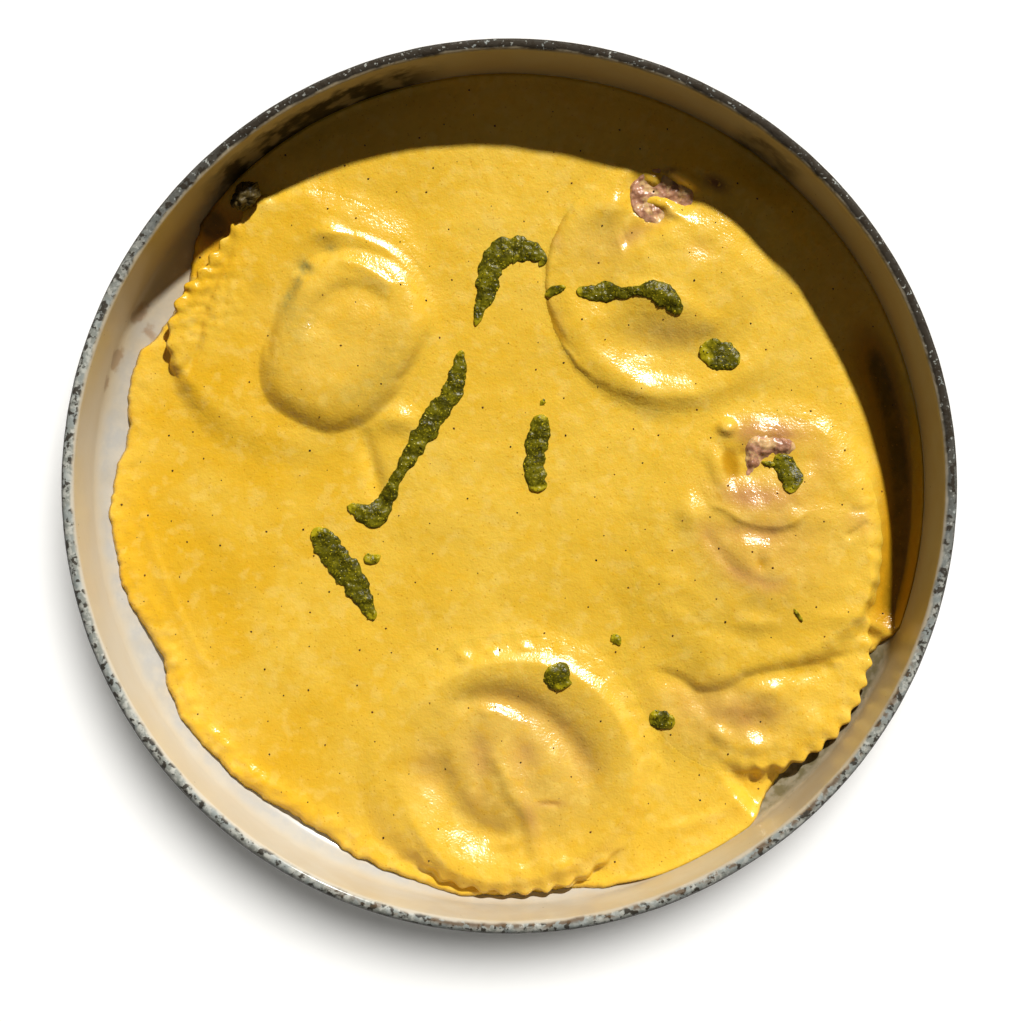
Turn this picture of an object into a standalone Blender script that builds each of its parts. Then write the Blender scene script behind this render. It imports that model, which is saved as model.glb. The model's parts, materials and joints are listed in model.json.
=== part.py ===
"""Round ravioli in a creamy yellow sauce, in the low stoneware bowl that they are served in.

Metres, +Z up. The origin is the centre of the bowl's base, on the surface it stands on.
The five ravioli lie in a pool of sauce. The right one is stacked on the lower right one, and
two of them are torn, so their filling is a piece of its own. Herb oil is drizzled on top.
"""

import math

import bmesh
import bpy
from mathutils import Matrix, Vector

COLLECTION = "ravioli_dish"

# Driving dimensions ---------------------------------------------------------------------------
CLEARANCE = 0.0003  # gap kept between pieces that touch

RIM_RADIUS = 0.110
BOWL_HEIGHT = 0.035
FLOOR_HEIGHT = 0.008  # top of the bowl's floor
WALL_THICKNESS = 0.0032
WALL_LEAN = 0.0018  # how much wider the inside is at the rim than at the floor
FLOOR_FILLET = 0.008
FOOT_RADIUS = 0.084
FOOT_WIDTH = 0.006
FOOT_RECESS = 0.0025
BOWL_SEGMENTS = 60

POOL_DEPTH = 0.0055
POOL_SLOPE = 0.011  # how much the pool falls per unit of length towards -X
SHORE_LENGTH = 0.016  # how far the sauce slopes down to a free edge
SHORE_THICKNESS = 0.0010
SAUCE_SEGMENTS = 56

PASTA_THICKNESS = 0.0020  # the flat margin round the filling
FLUTE_COUNT = 38
FLUTE_DEPTH = 0.00055
CREST_PLACE = 0.84  # the margin stands up in a crest at this share of the radius
CREST_WIDTH = 0.12
PRESSED_MARGIN = 0.003  # how far round a raviolo the one below it is pressed down
HERB_OIL_THICKNESS = 0.0016

# Worked out from them ---------------------------------------------------------------------------
RIM_INNER_RADIUS = RIM_RADIUS - WALL_THICKNESS
WALL_FOOT_RADIUS = RIM_INNER_RADIUS - WALL_LEAN
FILLET_CENTRE_RADIUS = WALL_FOOT_RADIUS - FLOOR_FILLET
FILLET_CENTRE_HEIGHT = FLOOR_HEIGHT + FLOOR_FILLET
LIP_RADIUS = WALL_THICKNESS / 2
POOL_LEVEL = FLOOR_HEIGHT + POOL_DEPTH
SHORE_RADIUS = FILLET_CENTRE_RADIUS + math.sqrt(
    (FLOOR_FILLET - CLEARANCE) ** 2 - (FILLET_CENTRE_HEIGHT - POOL_LEVEL) ** 2
)

# The sauce touches the wall over most of its edge. Elsewhere it stops short of it:
# (direction in degrees, distance short of the wall).
SHORE = (
    (0, 0.0), (118, 0.0), (131, 0.0015), (141, 0.0041), (145, 0.0058), (151, 0.0082),
    (161, 0.0044), (171, 0.0065), (178, 0.0042), (193, 0.0035), (206, 0.0062), (210, 0.0042),
    (222, 0.0034), (239, 0.0050), (248, 0.0034), (262, 0.0014), (274, 0.0022), (283, 0.0013),
    (291, 0.0), (304, 0.0), (311, 0.0045), (322, 0.0065), (334, 0.0040), (339, 0.0),
    (360, 0.0),
)  # fmt: skip

# Soft mounds of the pool where sauce is heaped against the ravioli: (x, y, radius, height).
MOUNDS = (
    (0.006, -0.006, 0.026, 0.0008),
    (0.025, -0.017, 0.013, 0.0012),
)

# Each raviolo: middle, radii along X and Y, height of its margin's underside, how that height
# changes along X and Y, height of the margin's crest, and its filled dome: offset from the
# middle, radius and height. belly is how far the filling bulges down.
# flat is a stretch of edge pushed inwards: direction in degrees, half width, depth.
# dents are hollows, or bumps if negative: x and y from the middle, radius, depth.
RAVIOLI = {
    "ravioli_upper_left": {
        "middle": (-0.0528, 0.0430), "radii": (0.0340, 0.0332), "margin": 0.0124,
        "slope": (0.010, 0.022), "belly": 0.0032, "flat": (142, 30, 0.0060), "crest": 0.0010,
        "dome": (0.0115, -0.0048), "dome_radius": 0.0205, "dome_height": 0.0052,
        "dents": ((0.0125, -0.0045, 0.0085, 0.0026),),
    },
    "ravioli_upper_right": {
        "middle": (0.0444, 0.0507), "radii": (0.0343, 0.0328), "margin": 0.0126,
        "slope": (0.0, 0.0), "belly": 0.0034, "flat": (0, 1, 0.0), "crest": 0.0010,
        "dome": (0.0018, 0.0066), "dome_radius": 0.0200, "dome_height": 0.0036,
        "dents": (),
    },
    "ravioli_right": {
        "middle": (0.0645, -0.0150), "radii": (0.0342, 0.0326), "margin": 0.0146,
        "slope": (0.0, -0.030), "belly": 0.0, "flat": (0, 32, 0.0030), "crest": 0.0008,
        "dome": (0.0018, 0.0030), "dome_radius": 0.0215, "dome_height": 0.0040,
        "dents": ((0.0016, 0.0160, 0.0060, 0.0022), (-0.0085, 0.0110, 0.0050, 0.0014)),
    },
    "ravioli_lower_right": {
        "middle": (0.0597, -0.0411), "radii": (0.0308, 0.0322), "margin": 0.0122,
        "slope": (0.0, 0.0), "belly": 0.0030, "flat": (322, 30, 0.0009), "crest": 0.0006,
        "dome": (0.0005, -0.0045), "dome_radius": 0.0190, "dome_height": 0.0024,
        "dents": (),
    },
    "ravioli_front": {
        "middle": (-0.0005, -0.0700), "radii": (0.0362, 0.0325), "margin": 0.0130,
        "slope": (0.045, 0.0), "belly": 0.0037, "flat": (0, 1, 0.0), "crest": 0.0020,
        "dome": (0.0018, -0.0004), "dome_radius": 0.0186, "dome_height": 0.0040,
        "dents": ((0.0030, -0.0040, 0.0045, 0.0012), (-0.0060, 0.0020, 0.0040, 0.0010)),
    },
}  # fmt: skip
LYING_UNDER = {"ravioli_lower_right": ("ravioli_right", "ravioli_front")}

# Rings of a raviolo's top and underside: (share of the radius, points round it).
TOP_RINGS = ((0.14, 10), (0.30, 20), (0.43, 20), (0.55, 20), (0.68, 24), (0.84, 30))
UNDER_RINGS = ((0.62, 20), (0.36, 20), (0.12, 10))

# Filling that shows at a tear: the raviolo it is in, its middle from the raviolo's, half sizes
# and the height of its middle.
FILLINGS = {
    "filling_upper_right": {
        "in": "ravioli_upper_right", "middle": (-0.0045, 0.0218),
        "half_sizes": (0.0088, 0.0082, 0.0018), "height": 0.0151,
    },
    "filling_right": {
        "in": "ravioli_right", "middle": (0.0020, 0.0192),
        "half_sizes": (0.0080, 0.0102, 0.0017), "height": 0.0164,
    },
}  # fmt: skip

# Streaks of herb oil, each a line of points (x, y, half width) that lies on what is below it.
HERB_OIL = {
    "herb_oil_arch": (
        (0.0090, 0.0568, 0.0010), (0.0060, 0.0594, 0.0028), (0.0002, 0.0598, 0.0040),
        (-0.0038, 0.0550, 0.0034), (-0.0056, 0.0480, 0.0024), (-0.0078, 0.0408, 0.0008),
    ),
    "herb_oil_long": (
        (-0.0114, 0.0348, 0.0010), (-0.0126, 0.0282, 0.0026), (-0.0165, 0.0205, 0.0030),
        (-0.0215, 0.0135, 0.0029), (-0.0268, 0.0055, 0.0019), (-0.0312, -0.0026, 0.0024),
        (-0.0344, -0.0066, 0.0033), (-0.0405, -0.0044, 0.0012),
    ),
    "herb_oil_left": (
        (-0.0494, -0.0100, 0.0018), (-0.0455, -0.0148, 0.0037), (-0.0410, -0.0215, 0.0038),
        (-0.0372, -0.0280, 0.0024), (-0.0346, -0.0328, 0.0012),
    ),
    "herb_oil_middle": (
        (0.0084, 0.0180, 0.0020), (0.0074, 0.0110, 0.0030), (0.0065, 0.0050, 0.0030),
        (0.0074, -0.0012, 0.0023),
    ),
    "herb_oil_on_upper_right": (
        (0.0182, 0.0491, 0.0013), (0.0255, 0.0487, 0.0026), (0.0320, 0.0484, 0.0014),
        (0.0380, 0.0484, 0.0030), (0.0434, 0.0430, 0.0016),
    ),
    "herb_oil_drop": (
        (0.0488, 0.0330, 0.0024), (0.0530, 0.0325, 0.0042), (0.0582, 0.0304, 0.0020),
    ),
    "herb_oil_front": (
        (0.0095, -0.0454, 0.0026), (0.0113, -0.0482, 0.0038), (0.0124, -0.0511, 0.0026),
    ),
    "herb_oil_in_hollow": (
        (0.0674, 0.0062, 0.0014), (0.0696, 0.0032, 0.0036), (0.0702, -0.0018, 0.0024),
    ),
    "herb_oil_on_lower_right": (
        (0.0346, -0.0582, 0.0020), (0.0372, -0.0596, 0.0027), (0.0402, -0.0606, 0.0018),
    ),
}  # fmt: skip
HERB_OIL_LIFT = 0.0006  # herb oil's underside above what it lies on


# Shared helpers ---------------------------------------------------------------------------------
def smoothstep(low, high, value):
    """0 below low, 1 above high and a soft ramp between them."""
    t = min(1.0, max(0.0, (value - low) / (high - low)))
    return t * t * (3 - 2 * t)


def bell(distance, radius):
    """1 at distance 0, falling softly to almost nothing at about twice the radius."""
    return math.exp(-((distance / radius) ** 2))


def angle_between(a, b):
    """Difference of two directions in degrees, from -180 to 180."""
    return (a - b + 180) % 360 - 180


def material(name, colour, roughness):
    made = bpy.data.materials.new(name)
    made.use_nodes = True
    shader = made.node_tree.nodes["Principled BSDF"]
    shader.inputs["Base Color"].default_value = (*colour, 1.0)
    shader.inputs["Roughness"].default_value = roughness
    shader.inputs["Metallic"].default_value = 0.0
    return made


def collection(name):
    made = bpy.data.collections.new(name)
    bpy.context.scene.collection.children.link(made)
    return made


def add_object(name, mesh, into, finish=None):
    made = bpy.data.objects.new(name, mesh)
    into.objects.link(made)
    if finish:
        mesh.materials.append(finish)
    return made


def turned(name, profile, segments, into, finish=None):
    """A profile of (radius, height) points turned once round the Z axis."""
    mesh = bpy.data.meshes.new(name)
    edges = [(i, i + 1) for i in range(len(profile) - 1)]
    mesh.from_pydata([(r, 0.0, z) for r, z in profile], edges, [])
    made = add_object(name, mesh, into, finish)
    screw = made.modifiers.new("turn", "SCREW")
    screw.axis = "Z"
    screw.steps = screw.render_steps = segments
    screw.use_merge_vertices = True
    screw.merge_threshold = 0.00001
    screw.use_smooth_shade = True
    return made


def applied(made):
    """Puts the object's evaluated mesh in place of its modifiers."""
    bpy.context.view_layer.update()
    evaluated = made.evaluated_get(bpy.context.evaluated_depsgraph_get())
    made.data = bpy.data.meshes.new_from_object(evaluated)
    made.modifiers.clear()
    return made


def cut(made, cutter):
    """Takes the cutter away from the object, and hides the cutter."""
    difference = made.modifiers.new("cut_" + cutter.name, "BOOLEAN")
    difference.operation = "DIFFERENCE"
    difference.object = cutter
    cutter.hide_render = True
    cutter.display_type = "WIRE"


# Bowl -------------------------------------------------------------------------------------------
def bowl_inside_height(radius, gap=0.0):
    """Height of the bowl's inside at a radius, with a gap kept to it."""
    past = min(radius - FILLET_CENTRE_RADIUS, FLOOR_FILLET - gap)
    if past <= 0:
        return FLOOR_HEIGHT + gap
    return FILLET_CENTRE_HEIGHT - math.sqrt((FLOOR_FILLET - gap) ** 2 - past**2)


def arc(centre, radius, start, end, count):
    """Points (radius, height) along an arc from one direction in degrees to another."""
    turns = [math.radians(start + (end - start) * i / (count - 1)) for i in range(count)]
    return [(centre[0] + radius * math.cos(t), centre[1] + radius * math.sin(t)) for t in turns]


def make_bowl(into, finish):
    lip_centre = (RIM_RADIUS - LIP_RADIUS, BOWL_HEIGHT - LIP_RADIUS)
    fillet_centre = (FILLET_CENTRE_RADIUS, FILLET_CENTRE_HEIGHT)
    shoulder = 0.012  # outer rounding between the wall and the base
    base_height = 0.0035
    shoulder_centre = (RIM_RADIUS - 0.0008 - shoulder, base_height + shoulder)
    profile = [(0.0, FOOT_RECESS), (FOOT_RADIUS - FOOT_WIDTH - 0.001, FOOT_RECESS)]
    profile += [(FOOT_RADIUS - FOOT_WIDTH, 0.0), (FOOT_RADIUS, 0.0)]
    profile += [(FOOT_RADIUS + 0.0015, base_height)]
    profile += arc(shoulder_centre, shoulder, -90, 0, 4)
    profile += arc(lip_centre, LIP_RADIUS, 0, 180, 5)
    profile += arc(fillet_centre, FLOOR_FILLET, 0, -90, 6)
    profile += [(0.0, FLOOR_HEIGHT)]
    return turned("bowl", profile[::-1], BOWL_SEGMENTS, into, finish)


# Ravioli ----------------------------------------------------------------------------------------
def outline_radius(raviolo, direction, fluted):
    """Distance from a raviolo's middle to its edge, with or without the flutes."""
    along_x, along_y = raviolo["radii"]
    c, s = math.cos(direction), math.sin(direction)
    radius = along_x * along_y / math.hypot(along_y * c, along_x * s)
    flat_direction, flat_width, flat_depth = raviolo["flat"]
    turn = angle_between(math.degrees(direction), flat_direction)
    radius -= flat_depth * bell(turn, flat_width)
    if fluted:
        radius += FLUTE_DEPTH * math.cos(FLUTE_COUNT * direction)
    return radius


def underside_height(raviolo, x, y):
    """Height of the margin's underside, which may slope."""
    middle, slope = raviolo["middle"], raviolo["slope"]
    return raviolo["margin"] + slope[0] * (x - middle[0]) + slope[1] * (y - middle[1])


def dome_shape(distance, radius):
    """1 on a filled dome's round top, falling steeply to 0 at its foot."""
    t = min(1.0, distance / radius)
    return (1 - t**2.6) ** 1.3


def top_height(raviolo, x, y, share):
    """Height of a raviolo's upper face where share is the share of the way out to its edge."""
    local_x, local_y = x - raviolo["middle"][0], y - raviolo["middle"][1]
    height = underside_height(raviolo, x, y) + PASTA_THICKNESS
    height += raviolo["crest"] * bell(share - CREST_PLACE, CREST_WIDTH)
    from_dome = math.hypot(local_x - raviolo["dome"][0], local_y - raviolo["dome"][1])
    height += raviolo["dome_height"] * dome_shape(from_dome, raviolo["dome_radius"])
    for dent_x, dent_y, radius, depth in raviolo["dents"]:
        height -= depth * bell(math.hypot(local_x - dent_x, local_y - dent_y), radius)
    return height


def ring_point(raviolo, direction, share, fluted=False, grow=0.0):
    """Plan position on a ring. Inner rings drift towards the dome, so that they circle it."""
    radius = (outline_radius(raviolo, direction, fluted) + grow) * share
    drift = 1 - share**2
    return (
        raviolo["middle"][0] + raviolo["dome"][0] * drift + radius * math.cos(direction),
        raviolo["middle"][1] + raviolo["dome"][1] * drift + radius * math.sin(direction),
    )


def pressed_from_above(name, x, y, height):
    """A raviolo's top stays clear of the ravioli that lie on it."""
    for above in (RAVIOLI[other] for other in LYING_UNDER.get(name, ())):
        off = Vector((x - above["middle"][0], y - above["middle"][1]))
        if off.length < outline_radius(above, math.atan2(off.y, off.x), False) + PRESSED_MARGIN:
            height = min(height, underside_height(above, x, y) - 2 * CLEARANCE)
    return height


def ravioli_rings(name, grow):
    """Rings of points from the middle of the top, over the edge, to the middle below.

    A raviolo's edge is fluted. A cutter, which has grow above 0, is smooth and larger all over.
    """
    raviolo = RAVIOLI[name]
    fluted = grow == 0
    edge_points = 3 * FLUTE_COUNT if fluted else 36
    edge_grow = 0.0 if fluted else grow + FLUTE_DEPTH
    rings = []
    for share, count in (*TOP_RINGS, (1.0, edge_points)):
        ring = []
        for i in range(count):
            direction = 2 * math.pi * i / count
            x, y = ring_point(raviolo, direction, share, fluted and share == 1, edge_grow)
            z = top_height(raviolo, x, y, share)
            if share == 1:
                z = underside_height(raviolo, x, y) + 0.8 * PASTA_THICKNESS
            ring.append((x, y, pressed_from_above(name, x, y, z) + grow))
        rings.append(ring)
    for share, count in ((1.0, edge_points), *UNDER_RINGS):
        ring = []
        for i in range(count):
            direction = 2 * math.pi * i / count
            x, y = ring_point(raviolo, direction, share, fluted and share == 1, edge_grow)
            belly = raviolo["belly"] * (1 - smoothstep(0.12, 0.62, share))
            z = underside_height(raviolo, x, y) - belly
            ring.append((x, y, z - grow))
        rings.append(ring)
    return rings


def band(bm, one, other):
    """Triangles between two rings of points that may differ in number."""
    i = j = 0
    while i < len(one) or j < len(other):
        here, there = one[i % len(one)], other[j % len(other)]
        if (i + 1) * len(other) <= (j + 1) * len(one):
            i += 1
            bm.faces.new((here, one[i % len(one)], there))
        else:
            j += 1
            bm.faces.new((here, other[j % len(other)], there))


def lofted(name, rings):
    """A closed mesh through rings of points, the first and last closed with a fan."""
    bm = bmesh.new()
    loops = [[bm.verts.new(p) for p in ring] for ring in rings]
    for one, other in zip(loops, loops[1:]):
        band(bm, one, other)
    for end in (loops[0], loops[-1]):
        centre = bm.verts.new(sum((point.co for point in end), Vector()) / len(end))
        for i, point in enumerate(end):
            bm.faces.new((centre, end[i - 1], point))
    bmesh.ops.recalc_face_normals(bm, faces=bm.faces)
    mesh = bpy.data.meshes.new(name)
    bm.to_mesh(mesh)
    bm.free()
    mesh.shade_smooth()
    return mesh


def make_raviolo(name, into, finish):
    return add_object(name, lofted(name, ravioli_rings(name, 0.0)), into, finish)


def make_raviolo_cutter(name, into):
    """The same form a clearance larger and without flutes, which leaves room in the sauce."""
    return add_object("room_" + name, lofted(name, ravioli_rings(name, CLEARANCE)), into)


# Filling ----------------------------------------------------------------------------------------
def make_filling(name, into, finish=None, grow=0.0):
    """A lump of minced filling, lumpy on top. With grow it is the room that the lump needs."""
    lump = FILLINGS[name]
    middle = RAVIOLI[lump["in"]]["middle"]
    place = Vector((middle[0] + lump["middle"][0], middle[1] + lump["middle"][1], lump["height"]))
    bm = bmesh.new()
    bmesh.ops.create_uvsphere(bm, u_segments=16, v_segments=8, radius=1.0)
    for point in bm.verts:
        p = point.co
        uneven = 1 + 0.05 * math.sin(5 * p.x + 1) * math.cos(4 * p.y) * (p.z > 0)
        point.co = Vector(p[k] * (lump["half_sizes"][k] * uneven + grow) for k in range(3))
    bm.transform(Matrix.Translation(place))
    mesh = bpy.data.meshes.new(name)
    bm.to_mesh(mesh)
    bm.free()
    mesh.shade_smooth()
    return add_object(("room_" if grow else "") + name, mesh, into, finish)


# Sauce ------------------------------------------------------------------------------------------
def shore_gap(direction):
    """How far the sauce's edge stays short of the wall in a direction in degrees."""
    for (start, gap), (end, next_gap) in zip(SHORE, SHORE[1:]):
        if start <= direction % 360 <= end:
            return gap + (next_gap - gap) * smoothstep(start, end, direction % 360)
    return 0.0


def sauce_top(x, y):
    """Height of the pool: nearly level, with soft mounds, and sloping down to a free edge."""
    direction = math.degrees(math.atan2(y, x))
    radius = math.hypot(x, y)
    gap = shore_gap(direction)
    height = POOL_LEVEL + POOL_SLOPE * min(x, 0.0)
    for mound_x, mound_y, mound_radius, mound_height in MOUNDS:
        height += mound_height * bell(math.hypot(x - mound_x, y - mound_y), mound_radius)
    free = smoothstep(0.0005, 0.003, gap)
    inland = min(1.0, max(0.0, SHORE_RADIUS - gap - radius) / SHORE_LENGTH)
    shore_height = bowl_inside_height(radius) + SHORE_THICKNESS
    sloping = shore_height + (height - shore_height) * (1 - (1 - inland) ** 1.6)
    return height + free * (min(height, sloping) - height)


def make_sauce(into, finish):
    """A turned disc, reshaped so that its top, its edge and its underside fit the bowl."""
    top = (0.30, 0.55, 0.75, 0.88, 0.95, 1.0)
    under = (1.0, 0.96, 0.91)
    profile = [(0.0, 1.0)] + [(share, 1.0) for share in top]
    profile += [(share, 0.0) for share in under] + [(0.0, 0.0)]
    sauce = applied(turned("sauce", profile, SAUCE_SEGMENTS, into))
    for vertex in sauce.data.vertices:
        direction = math.degrees(math.atan2(vertex.co.y, vertex.co.x))
        reach = SHORE_RADIUS - shore_gap(direction)
        x, y = vertex.co.x * reach, vertex.co.y * reach
        underside = bowl_inside_height(math.hypot(x, y), CLEARANCE)
        is_top = vertex.co.z > 0.5
        z = max(sauce_top(x, y), underside + 0.0006) if is_top else underside
        vertex.co = (x, y, z)
    sauce.data.materials.append(finish)
    return sauce


# Herb oil ---------------------------------------------------------------------------------------
def dish_top(x, y):
    """Height of whatever is uppermost at a place: sauce, a raviolo or its filling."""
    height = sauce_top(x, y)
    for raviolo in RAVIOLI.values():
        off_x, off_y = x - raviolo["middle"][0], y - raviolo["middle"][1]
        edge = outline_radius(raviolo, math.atan2(off_y, off_x), False)
        share = math.hypot(off_x, off_y) / (edge + 2 * FLUTE_DEPTH)
        if share < 1:
            height = max(height, top_height(raviolo, x, y, share))
    for lump in FILLINGS.values():
        raviolo = RAVIOLI[lump["in"]]
        off_x = x - raviolo["middle"][0] - lump["middle"][0]
        off_y = y - raviolo["middle"][1] - lump["middle"][1]
        share = math.hypot(off_x / lump["half_sizes"][0], off_y / lump["half_sizes"][1])
        if share < 1:
            height = max(height, lump["height"] + lump["half_sizes"][2] * math.sqrt(1 - share**2))
    return height


def make_herb_oil(name, into, finish):
    """A flattened tapering tube that follows the food's surface."""
    curve = bpy.data.curves.new(name, "CURVE")
    curve.dimensions = "3D"
    curve.bevel_depth = 1.0
    curve.bevel_resolution = 1
    curve.use_fill_caps = True
    spline = curve.splines.new("POLY")
    points = HERB_OIL[name]
    spline.points.add(len(points) - 1)
    for point, (x, y, half_width) in zip(spline.points, points):
        point.co = (x, y, 0.0, 1.0)
        point.radius = half_width
    drawn = bpy.data.objects.new(name + "_line", curve)
    into.objects.link(drawn)
    bpy.context.view_layer.update()
    evaluated = drawn.evaluated_get(bpy.context.evaluated_depsgraph_get())
    mesh = bpy.data.meshes.new_from_object(evaluated)
    bm = bmesh.new()
    bm.from_mesh(mesh)
    bmesh.ops.remove_doubles(bm, verts=bm.verts, dist=0.00001)
    deepest = max(half_width for _, _, half_width in points)
    for vertex in bm.verts:
        x, y, z = vertex.co
        thickness = HERB_OIL_THICKNESS * (0.5 + 0.5 * z / deepest)
        vertex.co.z = dish_top(x, y) + HERB_OIL_LIFT + thickness
    bmesh.ops.recalc_face_normals(bm, faces=bm.faces)
    bm.to_mesh(mesh)
    bm.free()
    bpy.data.objects.remove(drawn)
    mesh.name = name
    mesh.materials.clear()
    return add_object(name, mesh, into, finish)


# Whole dish -------------------------------------------------------------------------------------
def main():
    for old in list(bpy.data.objects):
        bpy.data.objects.remove(old)
    dish = collection(COLLECTION)
    cutters = collection("cutters")
    glaze = material("cream_glaze", (0.72, 0.62, 0.45), 0.35)
    sauce_finish = material("yellow_sauce", (0.83, 0.50, 0.06), 0.30)
    pasta_finish = material("coated_pasta", (0.78, 0.47, 0.07), 0.35)
    filling_finish = material("pink_filling", (0.45, 0.17, 0.09), 0.50)
    herb_finish = material("herb_oil", (0.08, 0.07, 0.004), 0.30)

    make_bowl(dish, glaze)
    sauce = make_sauce(dish, sauce_finish)
    for name in RAVIOLI:
        make_raviolo(name, dish, pasta_finish)
        cut(sauce, make_raviolo_cutter(name, cutters))
    for name, lump in FILLINGS.items():
        make_filling(name, dish, filling_finish)
        cut(bpy.data.objects[lump["in"]], make_filling(name, cutters, grow=CLEARANCE))
    for name in HERB_OIL:
        make_herb_oil(name, dish, herb_finish)


main()
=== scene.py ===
"""Dresses the dish of ravioli: hand-made speckled bowl, creamy sauce, five coated ravioli,
minced filling in two tears, streaks of herb oil, pepper specks, and the stage they stand on.

Lengths in this file are millimetres unless a name says otherwise, and meshes are made in metres.
The visible food is one relief: the pool of sauce and, laid over it in order, the ravioli. Each
piece follows that relief where it is uppermost and dips under its neighbour where it isn't.
"""

import json
import math

import bmesh
import bpy
import numpy as np
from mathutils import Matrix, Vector

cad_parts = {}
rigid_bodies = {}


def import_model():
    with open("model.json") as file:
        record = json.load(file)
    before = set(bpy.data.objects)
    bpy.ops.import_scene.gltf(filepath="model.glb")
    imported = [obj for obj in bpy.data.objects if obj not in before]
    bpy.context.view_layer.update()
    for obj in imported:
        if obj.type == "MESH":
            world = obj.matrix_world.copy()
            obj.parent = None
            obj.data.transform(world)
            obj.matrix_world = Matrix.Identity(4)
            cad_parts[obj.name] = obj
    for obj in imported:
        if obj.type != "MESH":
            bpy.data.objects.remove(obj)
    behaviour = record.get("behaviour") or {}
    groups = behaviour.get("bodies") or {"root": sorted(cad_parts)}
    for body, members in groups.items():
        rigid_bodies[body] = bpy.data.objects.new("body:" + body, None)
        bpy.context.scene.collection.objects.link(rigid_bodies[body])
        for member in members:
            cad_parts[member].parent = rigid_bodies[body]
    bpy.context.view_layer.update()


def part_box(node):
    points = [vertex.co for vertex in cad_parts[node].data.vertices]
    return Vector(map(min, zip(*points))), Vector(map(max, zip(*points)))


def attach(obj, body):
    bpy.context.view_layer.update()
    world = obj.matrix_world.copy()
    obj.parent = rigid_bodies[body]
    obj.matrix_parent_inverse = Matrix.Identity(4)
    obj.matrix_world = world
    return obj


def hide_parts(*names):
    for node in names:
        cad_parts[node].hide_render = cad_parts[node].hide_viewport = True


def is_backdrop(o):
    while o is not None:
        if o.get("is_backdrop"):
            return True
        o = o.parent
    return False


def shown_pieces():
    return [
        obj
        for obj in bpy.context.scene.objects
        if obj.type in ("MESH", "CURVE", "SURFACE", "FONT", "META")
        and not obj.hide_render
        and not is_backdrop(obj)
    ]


bl_info = {
    "name": "Ravioli dish",
    "version": (1, 0, 0),
    "blender": (4, 5, 0),
    "location": "3D View > Sidebar > Ravioli",
    "description": "Makes a bowl of ravioli in creamy sauce round its solid parts",
    "category": "Add Mesh",
}

for start_up_object in list(bpy.data.objects):
    bpy.data.objects.remove(start_up_object)
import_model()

MM = 0.001
BODY = "root"

# Bowl, as the solid has it ----------------------------------------------------------------------
RIM_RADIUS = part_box("bowl")[1].x / MM
RIM_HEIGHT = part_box("bowl")[1].z / MM
WALL_THICKNESS = 3.2
WALL_LEAN = 1.8
FLOOR_HEIGHT = 8.0
FLOOR_FILLET = 8.0
FOOT_RADIUS = 84.0
FOOT_WIDTH = 6.0
FOOT_RECESS = 2.5
WALL_FOOT_RADIUS = RIM_RADIUS - WALL_THICKNESS - WALL_LEAN
FILLET_CENTRE_RADIUS = WALL_FOOT_RADIUS - FLOOR_FILLET
FILLET_CENTRE_HEIGHT = FLOOR_HEIGHT + FLOOR_FILLET

POOL_LEVEL = 13.5
SHORE_RADIUS = FILLET_CENTRE_RADIUS + math.sqrt(
    FLOOR_FILLET**2 - (FILLET_CENTRE_HEIGHT - POOL_LEVEL) ** 2
)
SHORE_LENGTH = 30.0  # how far the sauce slopes down to a free edge
SHORE_BEAD = 1.7  # thickness of that edge
SHORE_RIDGE = 1.45  # height of the bumpy ridge just inland of it

# How far the sauce's edge stops short of the wall: (direction in degrees, distance).
SHORE = (
    (0, 0.0), (118, 0.0), (131, 0.8), (137, 1.6), (141, 3.0), (145, 6.5), (151, 8.2), (161, 4.4),
    (171, 6.5), (178, 4.2), (193, 3.5), (206, 6.2), (210, 4.2), (222, 3.4), (239, 5.0),
    (248, 3.4), (262, 1.4), (274, 2.2), (283, 1.3), (291, 0.0), (304, 0.0), (311, 4.5),
    (322, 6.5), (334, 4.0), (339, 0.0),
)  # fmt: skip

FLUTE_COUNT = 38
FLUTE_DEPTH = 0.55
PASTA_THICKNESS = 2.0
SEAM = -0.2  # where a piece and the one under it swap places, outside the upper one's outline
TUCK = 1.5  # how much further out a covered edge goes on, under the sauce


# Numbers over the dish --------------------------------------------------------------------------
def ramp(low, high, value):
    """0 up to low, 1 from high on, and a soft rise between. With low above high it falls."""
    t = np.clip((value - low) / (high - low), 0.0, 1.0)
    return t * t * (3.0 - 2.0 * t)


def bell(distance, width):
    """1 at distance 0, falling softly to almost nothing at twice the width."""
    return np.exp(-((distance / width) ** 2))


def around(direction, stops):
    """A smooth value all the way round, through stops of (direction in degrees, value)."""
    places = np.array([place for place, _ in stops], float)
    values = np.tile([value for _, value in stops], 3).astype(float)
    places = np.concatenate((places - 360, places, places + 360))
    slopes = np.gradient(values, places)
    turned = np.asarray(direction) % 360.0
    i = np.searchsorted(places, turned, side="right") - 1
    gap = places[i + 1] - places[i]
    t = (turned - places[i]) / gap
    start, end = values[i], values[i + 1]
    bend = (2 * t**3 - 3 * t**2) * (start - end)
    return start + bend + gap * (
        (t**3 - 2 * t**2 + t) * slopes[i] + (t**3 - t**2) * slopes[i + 1]
    )


def scattered(a, b, seed):
    """Numbers from 0 to 1 that look random, one for each pair of whole numbers."""
    mixed = np.sin(a * 127.1 + b * 311.7 + seed * 74.7) * 43758.5453
    return mixed - np.floor(mixed)


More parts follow.
